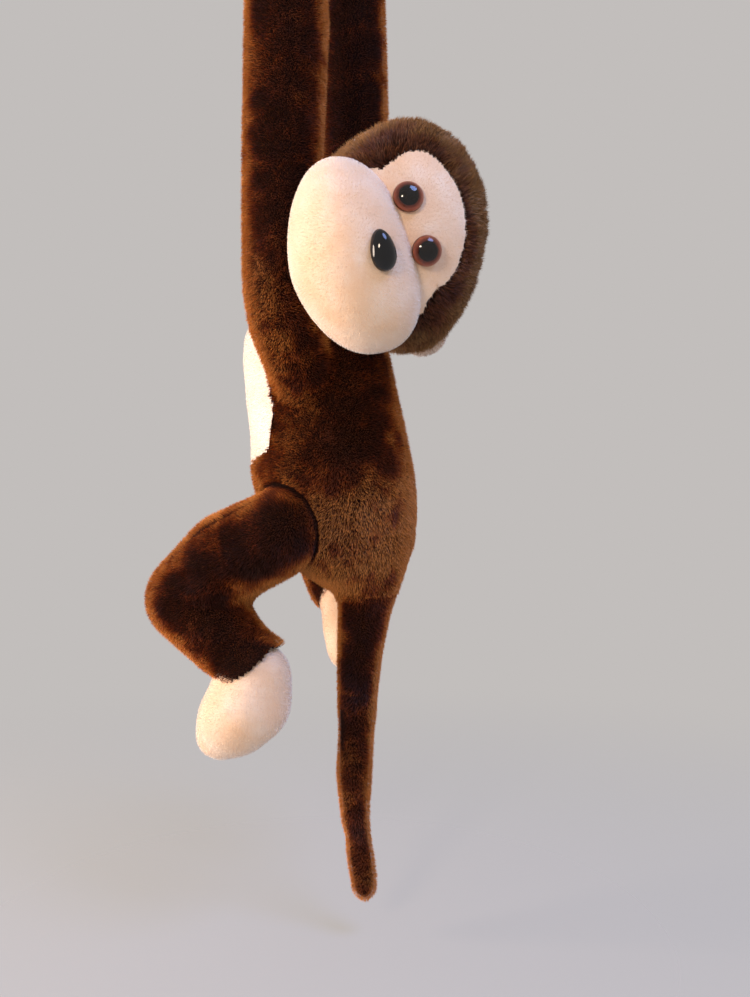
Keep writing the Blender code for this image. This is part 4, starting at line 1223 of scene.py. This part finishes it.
camera = bpy.data.objects.new("camera", bpy.data.cameras.new("camera"))
bpy.context.scene.collection.objects.link(camera)
camera.data.lens = LENS_MM
camera.data.sensor_width = 36
camera.data.clip_start, camera.data.clip_end = 0.01, 20
camera.location = CAMERA_AT
camera.rotation_mode = "QUATERNION"
camera.rotation_quaternion = CAMERA_TOWARD.to_track_quat("-Z", "Y")
bpy.context.scene.camera = camera


def soft_lamp(name, place, target, size, watts, colour):
    lamp = bpy.data.objects.new(name, bpy.data.lights.new(name, "AREA"))
    bpy.context.scene.collection.objects.link(lamp)
    lamp.data.shape = "DISK"
    lamp.data.size = size
    lamp.data.energy = watts
    lamp.data.color = linear(colour)[:3]
    lamp.location = place
    lamp.rotation_mode = "QUATERNION"
    lamp.rotation_quaternion = (Vector(target) - Vector(place)).to_track_quat("-Z", "Y")


MIDDLE = (0.0, 0.02, -0.30)
soft_lamp("warm_key", (0.53, -0.66, -0.22), MIDDLE, 0.45, 9.2, 0xFFE9D6)
soft_lamp("cool_fill", (0.22, 0.66, 0.50), MIDDLE, 0.5, 7.0, 0x9AB4FF)
soft_lamp("front", (0.85, 0.14, -0.10), MIDDLE, 0.16, 2.5, 0xFFE8CE)

world = bpy.data.worlds.new("studio")
bpy.context.scene.world = world
world.use_nodes = True
tree = world.node_tree
tree.nodes.clear()
path = node(tree, "ShaderNodeLightPath")
# The camera, the glossy parts and what is seen through the lenses have the plain backdrop.
seen = maths(tree, "MAXIMUM", (path, "Is Camera Ray"), (path, "Is Transmission Ray"))
seen = maths(tree, "MAXIMUM", (seen, 0), (path, "Is Glossy Ray"))
light = node(tree, "ShaderNodeBackground", values={"Color": linear(0xECEEF6), "Strength": 0.52})
backdrop = node(tree, "ShaderNodeBackground", values={"Color": linear(0xC2BEBC), "Strength": 1.0})
sky = node(tree, "ShaderNodeMixShader", links={0: (seen, 0), 1: (light, 0), 2: (backdrop, 0)})
node(tree, "ShaderNodeOutputWorld", links={"Surface": (sky, 0)})

bpy.ops.mesh.primitive_plane_add(size=8, location=(0, 0, -0.535))
floor = settle(chosen())
floor.name = floor.data.name = "floor"
made, tree = bare_material("pale_painted_board")
place = node(tree, "ShaderNodeTexCoord")
away = node(tree, "ShaderNodeVectorMath", {"operation": "LENGTH"}, links={0: (place, "Object")})
fade = smooth_step(tree, (away, 1), 0.15, 0.85)
board = node(tree, "ShaderNodeBsdfDiffuse", values={"Color": linear(0xC8C5C3)})
clear = node(tree, "ShaderNodeBsdfTransparent")
mixed = node(tree, "ShaderNodeMixShader", links={0: (fade, 0), 1: (board, 0), 2: (clear, 0)})
node(tree, "ShaderNodeOutputMaterial", links={"Surface": (mixed, 0)})
floor.data.materials.append(made)

bpy.context.scene.view_settings.view_transform = "Standard"
